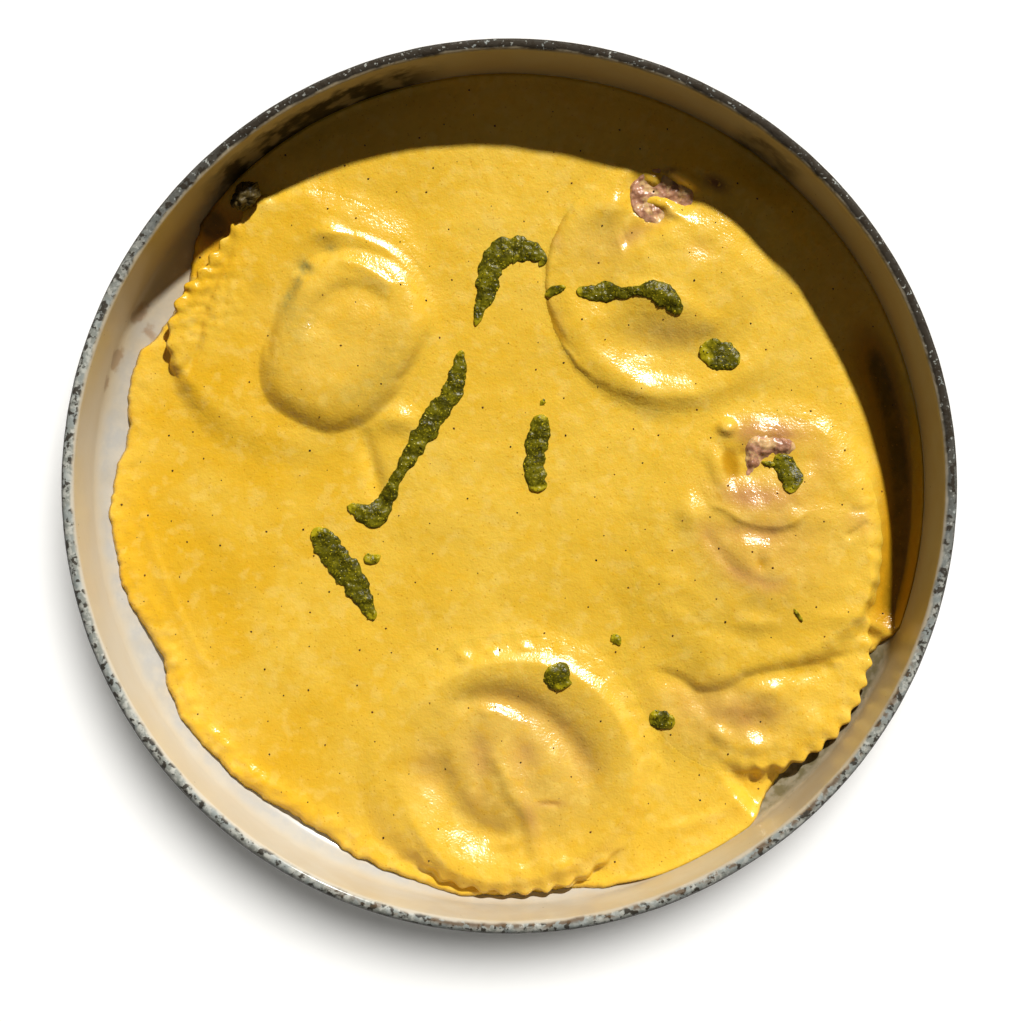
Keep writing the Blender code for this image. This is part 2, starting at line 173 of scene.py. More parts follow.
def waves(x, y, size, seed=0):
    """Soft random swells from about -1 to 1, each about size across."""
    u, v = x / size, y / size
    i, j = np.floor(u), np.floor(v)
    u, v = u - i, v - j

    def corner(a, b):
        turn = scattered(i + a, j + b, seed) * 2 * math.pi
        return (u - a) * np.cos(turn) + (v - b) * np.sin(turn)

    su, sv = u**3 * (u * (u * 6 - 15) + 10), v**3 * (v * (v * 6 - 15) + 10)
    low = corner(0, 0) + (corner(1, 0) - corner(0, 0)) * su
    high = corner(0, 1) + (corner(1, 1) - corner(0, 1)) * su
    return 1.5 * (low + (high - low) * sv)


def grains(x, y, size, seed=0):
    """Rounded grains of about that size: 1 at each grain's middle, 0 between grains."""
    u, v = x / size, y / size
    i, j = np.floor(u), np.floor(v)
    nearest = np.full(np.shape(u), 9.0)
    for a in (-1, 0, 1):
        for b in (-1, 0, 1):
            off_u = i + a + 0.15 + 0.7 * scattered(i + a, j + b, seed) - u
            off_v = j + b + 0.15 + 0.7 * scattered(i + a, j + b, seed + 9) - v
            nearest = np.minimum(nearest, np.hypot(off_u, off_v))
    return np.clip(1.0 - nearest**2 * 1.6, 0.0, 1.0)


def smooth_line(points, per_span=6):
    """Points along a smooth curve through the given ones, with any values they carry."""
    p = np.array(points, float)
    p = np.vstack((2 * p[0] - p[1], p, 2 * p[-1] - p[-2]))
    t = np.linspace(0, 1, per_span, endpoint=False)[:, None]
    spans = []
    for a, b, c, d in zip(p, p[1:], p[2:], p[3:]):
        bend = (2 * a - 5 * b + 4 * c - d) * t**2 + (3 * b - a - 3 * c + d) * t**3
        spans.append(0.5 * (2 * b + (c - a) * t + bend))
    return np.vstack((*spans, p[-2]))


# Features of the relief. Each maker returns a function of x and y that gives a height.
def mound(height, middle, along_x, along_y, turn=0.0, steep=2.0):
    """A round or oval swelling, or a hollow if its height is negative."""
    c, s = math.cos(math.radians(turn)), math.sin(math.radians(turn))

    def relief(x, y):
        u, v = x - middle[0], y - middle[1]
        off = np.hypot((u * c + v * s) / along_x, (v * c - u * s) / along_y)
        return height * np.exp(-(off**steep))

    return relief


def fold(height, left, right, *points):
    """A ridge, or a groove if negative, along a line, with its own width on either side."""
    line = smooth_line(points)
    reach = 2.7 * max(left, right)
    low, high = line.min(0) - reach, line.max(0) + reach

    def relief(x, y):
        result = np.zeros_like(x)
        near = (x > low[0]) & (x < high[0]) & (y > low[1]) & (y < high[1])
        px, py = x[near], y[near]
        best = np.full(px.shape, 1e9)
        side, along = np.zeros(px.shape), np.zeros(px.shape)
        for k, (start, end) in enumerate(zip(line, line[1:])):
            step = end - start
            t = ((px - start[0]) * step[0] + (py - start[1]) * step[1]) / (step @ step)
            t = np.clip(t, 0.0, 1.0)
            off_x, off_y = px - start[0] - t * step[0], py - start[1] - t * step[1]
            distance = np.hypot(off_x, off_y)
            closer = distance < best
            best[closer] = distance[closer]
            side[closer] = (step[0] * off_y - step[1] * off_x)[closer]
            along[closer] = (k + t)[closer]
        share = along / (len(line) - 1)
        ends = ramp(0.0, 0.22, share) * ramp(1.0, 0.78, share)
        result[near] = height * bell(best, np.where(side > 0, left, right)) * ends
        return result

    return relief


def crumpled(height, middle, reach, size, seed):
    """Random swells about size across, over a round place."""

    def relief(x, y):
        off = np.hypot(x - middle[0], y - middle[1]) / reach
        return height * np.exp(-(off**4)) * waves(x, y, size, seed)

    return relief


# Pool of sauce ----------------------------------------------------------------------------------
POOL_FEATURES = (
    fold(-1.1, 2.0, 2.0, (-37.6, 18.0), (-35.6, 10.3), (-32.8, -0.9), (-32.0, -6.0)),
    fold(0.62, 0.9, 1.6, (-97.8, 11.5), (-91.9, -9.5), (-85.1, -27.8), (-79.2, -40.0), (-74.4, -47.6)),
    fold(0.42, 1.0, 2.0, (32.0, -87.8), (41.9, -85.7), (51.1, -82.7), (60.2, -77.6), (63.2, -78.6)),
    mound(0.5, (-17.3, -7.5), 7.0, 6.0),
    mound(1.35, (-27.4, 17.4), 5.0, 3.4),
    mound(-0.4, (40.4, -14.6), 6.0, 10.0),
    crumpled(0.10, (0.0, 0.0), 110.0, 5.5, 8),
    crumpled(0.16, (0.0, 0.0), 110.0, 12.0, 9),
    mound(-0.5, (-26.4, 71.0), 12.0, 6.0),
    mound(0.3, (6.0, -6.0), 30.0, 26.0),
    mound(0.4, (25.0, -17.0), 15.0, 17.0),
    mound(-0.3, (12.0, -32.0), 14.0, 7.0),
    fold(-3.4, 3.4, 9.0, (88.0, 46.0), (96.0, 28.0), (101.0, 8.0), (101.5, -12.0), (98.5, -30.0),
         (93.0, -44.0)),
)


def bowl_inside(radius):
    """Height of the bowl's inside at a distance from its middle."""
    past = np.clip(radius - FILLET_CENTRE_RADIUS, 0.0, FLOOR_FILLET)
    return FILLET_CENTRE_HEIGHT - np.sqrt(FLOOR_FILLET**2 - past**2)


def shore_gap(direction):
    """How far the sauce's edge stays short of the wall."""
    return np.maximum(around(direction, SHORE), 0.0)


def shore_reach(direction):
    """Distance of the sauce's edge from the middle, uneven where it is free."""
    gap = shore_gap(direction)
    turn = np.radians(direction)
    x, y = 100 * np.cos(turn), 100 * np.sin(turn)
    uneven = 0.8 * waves(x, y, 9.0, 4) + 0.45 * waves(x, y, 3.2, 5) + 0.2 * waves(x, y, 1.3, 6)
    return SHORE_RADIUS + 0.05 - gap + uneven * ramp(0.3, 2.5, gap)


def pool_top(x, y):
    """Height of the pool's surface: nearly level, and sloping down to a free edge."""
    direction, radius = np.degrees(np.arctan2(y, x)), np.hypot(x, y)
    height = POOL_LEVEL + 0.011 * np.minimum(x, 0.0)
    for feature in POOL_FEATURES:
        height = height + feature(x, y)
    height += 0.32 * waves(x, y, 23.0, 1) + 0.11 * waves(x, y, 9.0, 2) + 0.03 * waves(x, y, 3.4, 3)
    gap = shore_gap(direction)
    inland = np.maximum(SHORE_RADIUS - gap - radius, 0.0)
    at_edge = np.clip((shore_reach(direction) - radius) / SHORE_BEAD, 0.0, 1.0)
    free = ramp(0.3, 2.0, gap)
    shore = bowl_inside(radius) + SHORE_BEAD * np.sqrt(1 - (1 - at_edge) ** 2)
    sloping = shore + (height - shore) * (1 - (1 - np.minimum(inland / SHORE_LENGTH, 1.0)) ** 1.25)
    meniscus = 0.5 * bell(inland, 1.2) * (1 - free)
    bumps = 0.55 + 0.5 * waves(x, y, 7.0, 31) + 0.30 * waves(x, y, 2.6, 32)
    strength = 0.35 + 0.65 * bell(np.asarray(direction) % 360 - 224.0, 26.0)
    ridge = SHORE_RIDGE * free * strength * bell(inland - 3.4, 2.5) * np.clip(bumps, 0.0, 1.5)
    return height + free * (np.minimum(height, sloping) - height) + meniscus + ridge


# Ravioli ----------------------------------------------------------------------------------------
class Raviolo:
    """One raviolo's form, in millimetres from its middle, on the place that its solid has.

    base is its flat height over the pool, slope how that changes along X and Y, and crest the
    raised ring near the edge: height, inner and outer width as shares of the radius. Its place
    and its strength are given by direction. uneven is the height of its random swells.
    dome is the filled middle: its offset, height, steepness and radius by direction, and tipped
    is how its height changes along X and Y, as a share for each millimetre.
    covered is how widely the sauce blurs its edge by direction, and bare how far the edge
    stands free of the sauce, from 0 to 1.
    """

    def __init__(self, node, base, slope, crest, dome, covered, bare, groove, features, marks=(),
                 belly=3.0, tipped=(0.0, 0.0), off_centre=(0.0, 0.0), flat=(0.0, 1.0, 0.0), uneven=0.2,
                 crest_places=((0, 0.84), (180, 0.84)), crest_turns=((0, 1.0), (180, 1.0)),
                 fluting=((0, 1.0), (180, 1.0))):  # fmt: skip
        low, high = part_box(node)
        self.node = node
        self.middle = np.array((low + high)[:2]) / 2 / MM + off_centre
        self.radii = np.array((high - low)[:2]) / 2 / MM - FLUTE_DEPTH
        self.base, self.slope, self.crest, self.dome = base, slope, crest, dome
        self.covered, self.bare, self.groove, self.features = covered, bare, groove, features
        self.marks, self.belly, self.tipped = marks, belly, tipped
        self.flat, self.crest_turns, self.fluting = flat, crest_turns, fluting
        self.uneven, self.crest_places = uneven, crest_places

    def outline(self, direction, fluted=1.0):
        """Distance of the edge from the middle in a direction in degrees."""
        turn = np.radians(direction)
        c, s = np.cos(turn), np.sin(turn)
        radius = self.radii[0] * self.radii[1] / np.hypot(self.radii[1] * c, self.radii[0] * s)
        flat_direction, flat_width, flat_depth = self.flat
        off = (direction - flat_direction + 180) % 360 - 180
        radius = radius - flat_depth * bell(off, flat_width)
        radius = radius + 0.35 * waves(c * 4, s * 4, 1.0, self.middle[0])
        return radius + fluted * self.flute(direction)

    def flute(self, direction):
        """How far a flute stands out or in, by direction: sauce fills the flutes it covers."""
        strength = np.clip(around(direction, self.fluting), 0.0, 1.3)
        uneven = 0.8 + 0.35 * waves(np.asarray(direction) / 9.0, 0.0, 1.0, self.middle[1])
        return strength * uneven * FLUTE_DEPTH * np.cos(FLUTE_COUNT * np.radians(direction))

    def place(self, x, y):
        """Direction in degrees, distance from the middle, and distance inside the outline."""
        u, v = x - self.middle[0], y - self.middle[1]
        direction, reach = np.degrees(np.arctan2(v, u)), np.hypot(u, v)
        return direction, reach, self.outline(direction) - reach

    def top(self, x, y):
        """Height of the upper face, which carries on outside the outline."""
        u, v = x - self.middle[0], y - self.middle[1]
        direction, reach = np.degrees(np.arctan2(v, u)), np.hypot(u, v)
        share = reach / self.outline(direction, 0.0)
        height = POOL_LEVEL + self.base + self.slope[0] * u + self.slope[1] * v
        crest, inner, outer = self.crest
        off = share - around(direction, self.crest_places)
        ring = bell(off, np.where(off < 0, inner, outer))
        height = height + crest * ring * around(direction, self.crest_turns)
        height += self.uneven * (waves(x, y, 11.0, 41) + 0.45 * waves(x, y, 5.0, 42))
        height += 0.30 * self.flute(direction) * ramp(0.84, 0.98, share)
        (dome_x, dome_y), dome_height, steepness, dome_outline = self.dome
        dome_turn = np.degrees(np.arctan2(v - dome_y, u - dome_x))
        dome_share = np.hypot(u - dome_x, v - dome_y) / around(dome_turn, dome_outline)
        dome_height = dome_height * (1 + self.tipped[0] * (u - dome_x) + self.tipped[1] * (v - dome_y))
        height += dome_height * (1 - np.minimum(dome_share, 1.0) ** steepness) ** 1.8
        height += self.groove * bell(dome_share - 1.05, 0.12)
        for feature in self.features:
            height += feature(u, v)
        return height + 0.03 * waves(x, y, 2.6, 12)

    def underside(self, x, y):
        """Height of the underside, which bulges down under the filling."""
        u, v = x - self.middle[0], y - self.middle[1]
        share = np.hypot(u, v) / self.outline(np.degrees(np.arctan2(v, u)), 0.0)
        flat = POOL_LEVEL + self.base - PASTA_THICKNESS + self.slope[0] * u + self.slope[1] * v
        bulged = flat - self.belly * (1 - ramp(0.12, 0.62, share))
        return np.maximum(bulged, bowl_inside(np.hypot(x, y)) + 0.4)


UPPER_LEFT = Raviolo(
    "ravioli_upper_left",
    base=0.55, slope=(0.004, 0.006), crest=(0.25, 0.15, 0.16), groove=-0.25, uneven=0.15,
    tipped=(-0.006, -0.012),
    crest_turns=((0, 0.6), (30, 0.8), (60, 0.8), (90, 0.6), (125, 0.1), (240, 0.1), (310, 0.3)),
    crest_places=((10, 0.90), (28, 0.87), (47, 0.80), (70, 0.76), (100, 0.78), (180, 0.84),
                  (320, 0.90)),
    fluting=((0, 0.0), (60, 0.0), (95, 0.3), (115, 1.1), (188, 1.1), (205, 0.4), (225, 0.0)),
    dome=((11.4, -4.3), 3.0, 8.0, (
        (0, 23.0), (42, 23.4), (64, 23.0), (93, 22.4), (120, 21.2), (145, 19.0), (176, 19.2),
        (198, 22.6), (219, 25.2), (239, 24.8), (260, 25.0), (280, 23.4), (309, 20.6), (335, 20.2),
    )),
    covered=((0, 5.0), (60, 5.0), (95, 3.0), (112, 0.4), (185, 0.4), (205, 2.5), (270, 5.0)),
    bare=((0, 0.0), (98, 0.0), (115, 1.0), (188, 1.0), (205, 0.0), (270, 0.0)),
    off_centre=(-0.5, 0.1), flat=(142.0, 30.0, 6.0),
    features=(
        fold(0.80, 1.6, 5.0, (3.4, 20.6), (8.6, 21.6), (14.4, 20.6), (23.1, 16.9), (29.6, 10.7),
             (33.4, 3.7), (34.8, -4.3), (34.0, -9.6)),
        fold(0.40, 0.8, 2.0, (10.0, 15.0), (15.0, 14.0), (20.0, 11.4), (26.0, 7.0)),
        mound(0.8, (8.2, 22.2), 3.6, 2.8),
        mound(-0.5, (13.4, -4.0), 12.0, 11.0),
        fold(-0.9, 2.4, 3.6, (1.6, -5.4), (3.8, 0.4), (6.4, 3.8), (10.4, 6.8), (15.0, 7.4), (20.2, 5.2),
             (24.4, 0.6)),
        fold(-0.5, 1.2, 1.2, (33.8, -2.4), (31.6, -7.2), (27.8, -13.0), (23.4, -18.0)),
        fold(-0.9, 1.2, 1.6, (-15.5, 24.4), (-17.0, 17.1), (-19.1, 12.8), (-23.9, 1.1), (-25.2, -6.0),
             (-28.0, -11.4), (-31.3, -16.5)),
        fold(-0.35, 1.1, 1.1, (2.3, 14.5), (-1.0, 6.7), (-4.9, 0.8), (-6.9, -5.5), (-7.7, -11.6)),
        fold(-0.3, 0.8, 0.8, (-31.8, -18.7), (-28.0, -21.5), (-23.7, -23.6)),
        mound(-0.7, (-28.0, 7.7), 0.9, 0.8),
        mound(-0.7, (-31.0, 2.3), 0.9, 0.8),
        mound(1.5, (25.6, -26.0), 4.4, 2.9),
        mound(0.5, (2.5, 33.0), 3.5, 2.4),
        mound(-0.9, (2.4, 12.6), 1.8, 1.5),
        mound(-0.5, (-1.6, 7.6), 1.6, 2.8, -15),
        mound(0.5, (-18.0, 26.0), 4.0, 4.0),
        crumpled(0.10, (11.4, -4.3), 19.0, 5.0, 61),
        crumpled(0.30, (-27.0, 8.0), 13.0, 2.4, 62),
    ),
    marks=(
        ("stain", mound(0.95, (2.2, 13.6), 1.5, 2.2, 40)),
        ("stain", mound(0.7, (-2.1, 5.2), 1.3, 2.6, -10)),
        ("stain", mound(0.6, (0.6, 9.8), 1.2, 2.4, -25)),
        ("stain", mound(0.5, (9.3, 18.0), 1.8, 1.1)),
        ("stain", mound(0.30, (-0.5, 0.0), 3.4, 9.0)),
        ("stain", mound(0.32, (3.6, -0.6), 1.1, 3.0, -40)),
        ("stain", mound(0.30, (23.0, -10.5), 4.5, 7.0, -25)),
        ("stain", mound(0.28, (15.5, -18.0), 8.0, 3.4, 20)),
        ("stain", mound(0.22, (-9.9, 8.5), 2.6, 2.2)),
        ("pasta", mound(0.35, (9.0, -5.0), 20.0, 20.0, steep=4.0)),
        # Painted shade: a brown-orange line along the crease by the fluted edge, given by the oil mark.
        ("oil", fold(0.40, 0.9, 0.9, (-17.2, 17.1), (-19.1, 12.4), (-23.7, 1.1), (-25.2, -6.0),
                     (-28.0, -11.4))),
    ),
)  # fmt: skip

UPPER_RIGHT_CREASE = (
    (-24.7, 24.4), (-29.7, 17.3), (-33.4, 11.0), (-35.0, 4.0), (-34.9, -2.4), (-33.2, -8.0),
    (-30.0, -14.0), (-26.0, -19.4),
)  # fmt: skip
UPPER_RIGHT = Raviolo(
    "ravioli_upper_right",
    base=0.85, slope=(0.0, 0.0), crest=(1.2, 0.13, 0.12), groove=0.0, uneven=0.22,
    crest_turns=((0, 0.4), (60, 0.9), (120, 0.4), (170, 0.5), (215, 0.8), (240, 1.25), (270, 1.0),
                 (300, 0.5)),
    crest_places=((0, 0.82), (60, 0.86), (200, 0.84), (250, 0.87), (290, 0.85)),
    fluting=((0, 0.05), (90, 0.05), (180, 0.25), (235, 0.16), (270, 0.0)),
    dome=((1.8, 3.5), 2.8, 2.6, ((0, 22.0), (90, 21.0), (180, 22.0), (235, 24.5), (270, 23.0),
          (310, 22.0))),
    covered=((0, 5.0), (90, 4.0), (125, 3.4), (148, 2.0), (165, 1.2), (222, 1.2), (245, 3.0),
             (300, 6.0)),
    bare=((0, 0.0), (180, 0.0)),
    features=(
        fold(0.8, 3.2, 5.0, (-21.5, -3.3), (-12.0, -2.4), (-3.5, -3.4), (4.3, -8.4), (8.0, -14.0)),
        fold(-1.1, 2.4, 2.8, (-2.0, 18.2), (-6.0, 16.0), (-8.6, 14.2), (-12.8, 11.2), (-16.0, 10.4)),
        fold(-0.60, 1.0, 1.5, *UPPER_RIGHT_CREASE),
        mound(-0.9, (-6.0, -15.0), 9.5, 4.4, -8, steep=2.6),
        mound(-0.5, (4.6, 8.6), 4.6, 3.4, -25),
        mound(-0.8, (-30.6, 16.6), 1.5, 2.0, -30),
        mound(1.2, (-17.4, 19.0), 4.2, 3.2, 30),
        mound(0.5, (18.0, 19.0), 10.0, 7.0, -40),
        mound(-1.9, (-5.0, 22.5), 8.4, 6.4, -10, steep=4.0),
        mound(1.9, (-6.7, 26.2), 2.7, 2.0, -25, steep=2.6),
        mound(2.1, (-5.0, 20.6), 4.4, 1.9, -12, steep=2.6),
        mound(2.6, (1.2, 26.2), 3.9, 2.0, -32, steep=2.6),
        mound(1.3, (-1.6, 17.6), 3.0, 1.6, -20),
        mound(0.7, (8.6, 22.6), 3.5, 2.0, -30),
        mound(0.7, (-18.5, -9.0), 6.0, 4.5),
        crumpled(0.17, (0.0, 0.0), 30.0, 6.0, 63),
        crumpled(0.22, (-5.0, 22.0), 9.0, 2.6, 64),
    ),
    marks=(
        ("pasta", mound(0.75, (-20.0, 10.6), 9.0, 7.5, 20, steep=3.0)),
        ("blush", mound(0.55, (-12.5, 12.3), 4.5, 2.2, 35)),
        ("blush", mound(0.45, (-5.0, 16.4), 4.0, 1.8, 35)),
        # Painted shade: tan and pink in the hollow south of the dome, whose slope faces away from the
        # lamp.
        ("pasta", mound(0.60, (-5.5, -13.0), 11.0, 5.0, -5)),
        ("blush", mound(0.15, (-2.0, -12.5), 8.0, 3.0)),
        ("blush", mound(0.25, (4.6, 8.6), 4.0, 3.0)),
        # Painted shade: a brown line along the crisp west edge, which faces away from the lamp, given
        # by the oil mark.
        ("oil", fold(0.72, 1.5, 1.3, *UPPER_RIGHT_CREASE)),
        ("blush", mound(0.35, (-31.6, 12.0), 1.8, 4.0, 20)),
        ("blush", mound(0.30, (-32.0, -8.0), 1.5, 6.0, 20)),
        ("spice", mound(0.9, (9.0, 25.0), 3.4, 1.7, -30)),
        ("spice", mound(0.7, (-2.4, 28.4), 2.0, 1.0)),
    ),
)  # fmt: skip

LOWER_RIGHT = Raviolo(
    "ravioli_lower_right",
    base=0.75, slope=(-0.010, 0.010), crest=(0.6, 0.12, 0.14), groove=0.0, uneven=0.30,
    crest_turns=((0, 1.0), (60, 0.0), (220, 0.0), (280, 1.0)),
    fluting=((0, 1.1), (30, 0.6), (60, 0.0), (240, 0.0), (262, 0.4), (280, 1.1), (300, 1.3)),
    dome=((0.5, -8.5), 1.7, 2.0, ((0, 21.0), (90, 18.0), (180, 21.0), (270, 20.0))),
    covered=((0, 0.3), (60, 3.0), (180, 6.0), (240, 5.0), (262, 3.6), (280, 1.6), (292, 0.4),
             (350, 0.3)),
    bare=((0, 1.0), (20, 0.4), (60, 0.0), (180, 0.0), (280, 0.0), (294, 1.0), (340, 1.0)),
    features=(
        mound(1.0, (-8.0, -22.4), 3.2, 2.2, -20),
        mound(0.9, (0.6, -25.6), 4.2, 2.0, 10),
        mound(0.8, (0.0, -31.6), 3.0, 1.8),
        mound(-0.7, (0.5, -18.6), 6.0, 3.0),
        mound(-0.5, (-14.0, -15.0), 6.0, 3.6),
        mound(0.7, (3.8, -11.6), 4.4, 2.6, 15),
        mound(0.6, (15.0, -20.0), 5.0, 4.0),
        mound(-0.9, (-1.9, -33.2), 1.9, 1.1),
        crumpled(0.34, (-2.0, -19.0), 17.0, 4.6, 65),
    ),
    marks=(
        ("pasta", mound(0.80, (-6.0, -18.5), 18.0, 10.0, steep=3.0)),
        ("blush", mound(0.45, (0.8, -17.2), 6.5, 4.0)),
        ("blush", mound(0.38, (-10.0, -15.0), 13.0, 6.0, -10)),
        ("oil", mound(0.55, (-1.9, -33.2), 2.4, 1.4)),
    ),
)  # fmt: skip

RIGHT = Raviolo(
    "ravioli_right", belly=0.0, tipped=(-0.008, -0.026),
    base=2.3, slope=(0.0, -0.020), crest=(0.15, 0.14, 0.15), groove=0.0, uneven=0.26,
    crest_turns=((0, 0.8), (60, 0.8), (100, 0.6), (150, 0.0), (250, 0.3), (310, 0.6)),
    fluting=((0, 0.35), (40, 0.15), (80, 0.0), (180, 0.0), (250, 0.0), (300, 0.2), (340, 0.5)),
    dome=((1.5, -2.1), 2.0, 2.0, ((0, 24.0), (90, 24.0), (180, 26.0), (270, 24.0))),
    covered=((0, 3.2), (20, 4.0), (45, 5.5), (80, 7.0), (130, 8.0), (180, 8.0), (230, 7.0), (262, 4.4),
             (300, 3.4), (335, 1.6)),
    bare=((0, 0.1), (30, 0.0), (60, 0.0), (180, 0.0), (325, 0.0), (345, 0.3)),
    features=(
        mound(-0.75, (-1.5, 20.0), 9.0, 6.2, 6, steep=2.2),
        mound(1.9, (-8.0, 29.2), 2.2, 2.1, steep=3.0),
        fold(0.78, 6.2, 1.4, (-14.0, 9.0), (-11.6, 9.4), (-8.6, 8.4), (-4.6, 5.8), (-0.4, 4.4),
             (4.8, 4.0), (9.4, 5.8), (13.4, 9.4)),
        mound(-0.9, (1.0, 2.2), 8.0, 2.8, -4),
        mound(0.7, (-17.6, 7.0), 4.0, 4.6),
        fold(-0.45, 2.2, 1.7, (-15.5, 6.6), (-12.8, 1.0), (-9.7, -3.4), (-5.0, -8.0), (1.5, -10.4),
             (8.2, -10.8)),
        mound(-0.8, (-0.2, -5.6), 1.7, 2.2),
        mound(0.7, (13.5, 7.5), 7.0, 8.0),
        mound(0.8, (10.0, 14.0), 4.4, 4.4),
        mound(0.9, (-10.5, 18.6), 2.2, 4.4, 15, steep=2.6),
        mound(0.6, (0.0, 27.4), 9.0, 5.6, -5),
        mound(0.7, (9.8, 34.0), 3.8, 2.2, -15),
        mound(0.9, (17.4, 27.6), 4.2, 2.4, -45),
        fold(-0.25, 0.9, 1.2, (21.6, 7.6), (25.6, 7.4), (29.8, 9.0)),
        fold(-0.40, 0.9, 1.4, (20.5, 0.5), (24.5, 2.6), (27.6, 5.0)),
        mound(0.8, (-1.6, -20.4), 4.6, 2.4),
        mound(0.7, (-18.0, 7.6), 3.0, 5.0),
        mound(0.6, (20.0, -19.6), 5.0, 2.6),
        crumpled(0.17, (0.0, 12.0), 17.0, 4.4, 66),
        crumpled(0.25, (0.0, 0.0), 30.0, 7.0, 67),
        crumpled(0.10, (-2.0, 24.0), 10.0, 2.6, 68),
    ),
    marks=(
        ("pasta", mound(0.45, (2.0, 3.0), 22.0, 22.0, steep=4.0)),
        ("blush", mound(0.75, (-3.5, 11.4), 8.0, 3.4, -14)),
        ("blush", mound(0.95, (1.0, 27.4), 7.5, 4.0, -8, steep=3.0)),
        ("blush", mound(0.50, (10.0, 27.6), 5.0, 4.0)),
        ("blush", mound(0.45, (4.5, 12.0), 9.0, 4.6)),
        # Painted shade: pinkish brown under the lip, whose south side lies in shade.
        ("blush", mound(0.55, (0.0, 2.6), 9.0, 2.6, -4)),
        ("blush", fold(0.55, 2.6, 2.6, (-15.4, 8.0), (-13.2, 2.0), (-9.9, -3.4), (-5.2, -8.0),
                       (1.5, -10.6), (9.5, -11.0))),
        ("blush", mound(0.30, (1.0, -2.0), 13.0, 9.0)),
        ("blush", mound(0.40, (24.6, 5.0), 3.5, 3.5)),
        ("blush", mound(0.30, (16.0, 20.0), 4.0, 5.0)),
        ("oil", mound(0.6, (-0.2, -5.8), 1.5, 1.8)),
        ("oil", mound(0.78, (-7.2, 19.8), 2.6, 4.8, 8, steep=4.0)),
        ("oil", mound(0.5, (-10.4, 11.6), 0.9, 2.6, 28)),
        ("spice", mound(0.45, (4.4, 26.6), 3.0, 0.9)),
        ("spice", mound(0.50, (-1.4, 23.4), 4.2, 0.9, 6)),
    ),
    flat=(0.0, 32.0, 3.0),
)  # fmt: skip

FRONT = Raviolo(
    "ravioli_front",
    base=0.20, slope=(0.012, 0.016), crest=(2.2, 0.25, 0.09), groove=0.0, uneven=0.14,
    tipped=(-0.022, -0.030),
    crest_turns=((0, 0.85), (60, 0.78), (110, 0.80), (160, 0.4), (195, 0.35), (218, 0.9),
                 (240, 1.15), (280, 0.8), (320, 0.7)),
    crest_places=((0, 0.82), (40, 0.80), (90, 0.79), (180, 0.78), (212, 0.80), (238, 0.89),
                  (290, 0.86)),
    fluting=((0, 0.4), (60, 0.5), (120, 0.4), (180, 0.1), (215, 0.3), (240, 1.3), (290, 1.3),
             (320, 0.5)),
    dome=((1.5, -1.2), 1.6, 3.0, (
        (15, 17.6), (43, 17.0), (72, 17.6), (90, 18.0), (121, 18.6), (151, 17.7), (177, 17.0),
        (201, 16.0), (231, 16.4), (269, 18.6), (309, 20.6), (332, 20.6), (355, 19.4),
    )),
    covered=((0, 2.0), (60, 3.0), (120, 3.6), (180, 3.6), (215, 3.2), (232, 0.9), (300, 0.5),
             (330, 1.6)),
    bare=((0, 0.0), (180, 0.0), (228, 0.0), (244, 0.8), (292, 0.8), (305, 0.1)),
    features=(
        fold(-1.4, 3.4, 4.2, (-16.4, 12.0), (-13.0, 15.2), (-8.2, 16.8), (-1.6, 16.4), (5.2, 13.6),
             (11.4, 8.6), (16.2, 2.6), (19.4, -3.6), (20.4, -9.6)),
        fold(-1.05, 4.2, 5.4, (-20.0, 4.0), (-18.6, -5.0), (-14.4, -12.2), (-7.6, -17.2), (1.0, -19.6)),
        fold(0.6, 2.8, 2.4, (-12.6, 11.4), (-14.6, 4.6), (-13.6, -3.2), (-9.4, -10.6), (-4.0, -17.2)),
        fold(0.8, 2.8, 2.0, (-3.4, 4.6), (-2.6, -1.0), (0.2, -7.6), (3.8, -13.4), (5.2, -20.6),
             (7.4, -28.0)),
        fold(0.3, 1.4, 1.8, (-8.8, 12.8), (-5.4, 14.0), (-1.6, 12.6), (1.4, 9.6)),
        mound(-0.8, (-8.0, 1.0), 2.8, 6.5, 4),
        mound(-0.8, (2.6, 1.5), 3.2, 6.0, 14),
        mound(-0.8, (-21.0, -1.6), 5.0, 6.5, -10),
        fold(-0.25, 0.7, 0.9, (5.8, -9.8), (9.0, -9.8), (12.3, -10.2)),
        mound(0.6, (-6.8, 13.6), 4.0, 2.4),
        mound(0.8, (11.4, -25.4), 3.2, 2.6),
        mound(0.6, (1.0, -26.6), 2.4, 2.4),
        mound(0.6, (-1.6, -19.6), 4.0, 1.6, 15),
        mound(0.5, (-4.6, 28.4), 1.6, 1.4),
        mound(0.5, (3.6, 29.6), 1.8, 1.4),
        mound(0.5, (-12.0, 27.4), 1.8, 1.4),
        crumpled(0.14, (-4.0, -2.0), 15.0, 4.4, 69),
        crumpled(0.18, (0.0, 0.0), 32.0, 6.5, 70),
    ),
    marks=(
        ("pasta", mound(0.80, (2.0, 0.0), 22.0, 21.0, steep=4.0)),
        ("pasta", mound(0.25, (0.0, 2.0), 32.0, 26.0, steep=4.0)),
        # Painted shade: brownish pink along the valley inside the back of the ring, whose slope faces
        # away from the lamp.
        ("blush", fold(0.35, 3.0, 3.0, (-14.0, 16.0), (-1.6, 17.4), (6.8, 14.0), (13.6, 8.0),
                       (18.4, -0.4), (20.0, -8.0))),
        ("blush", mound(0.60, (-7.8, 3.0), 3.0, 5.5)),
        ("blush", mound(0.50, (3.2, 2.5), 3.6, 5.4)),
        ("blush", mound(0.35, (-21.0, -1.0), 5.0, 6.0)),
        ("blush", mound(0.60, (9.3, -9.8), 3.6, 1.0)),
        ("blush", mound(0.50, (4.5, -14.0), 1.8, 6.0, 15)),
        ("blush", mound(0.25, (-9.4, -8.5), 4.0, 3.0)),
    ),
)  # fmt: skip

LAYERS = (UPPER_LEFT, UPPER_RIGHT, LOWER_RIGHT, RIGHT, FRONT)

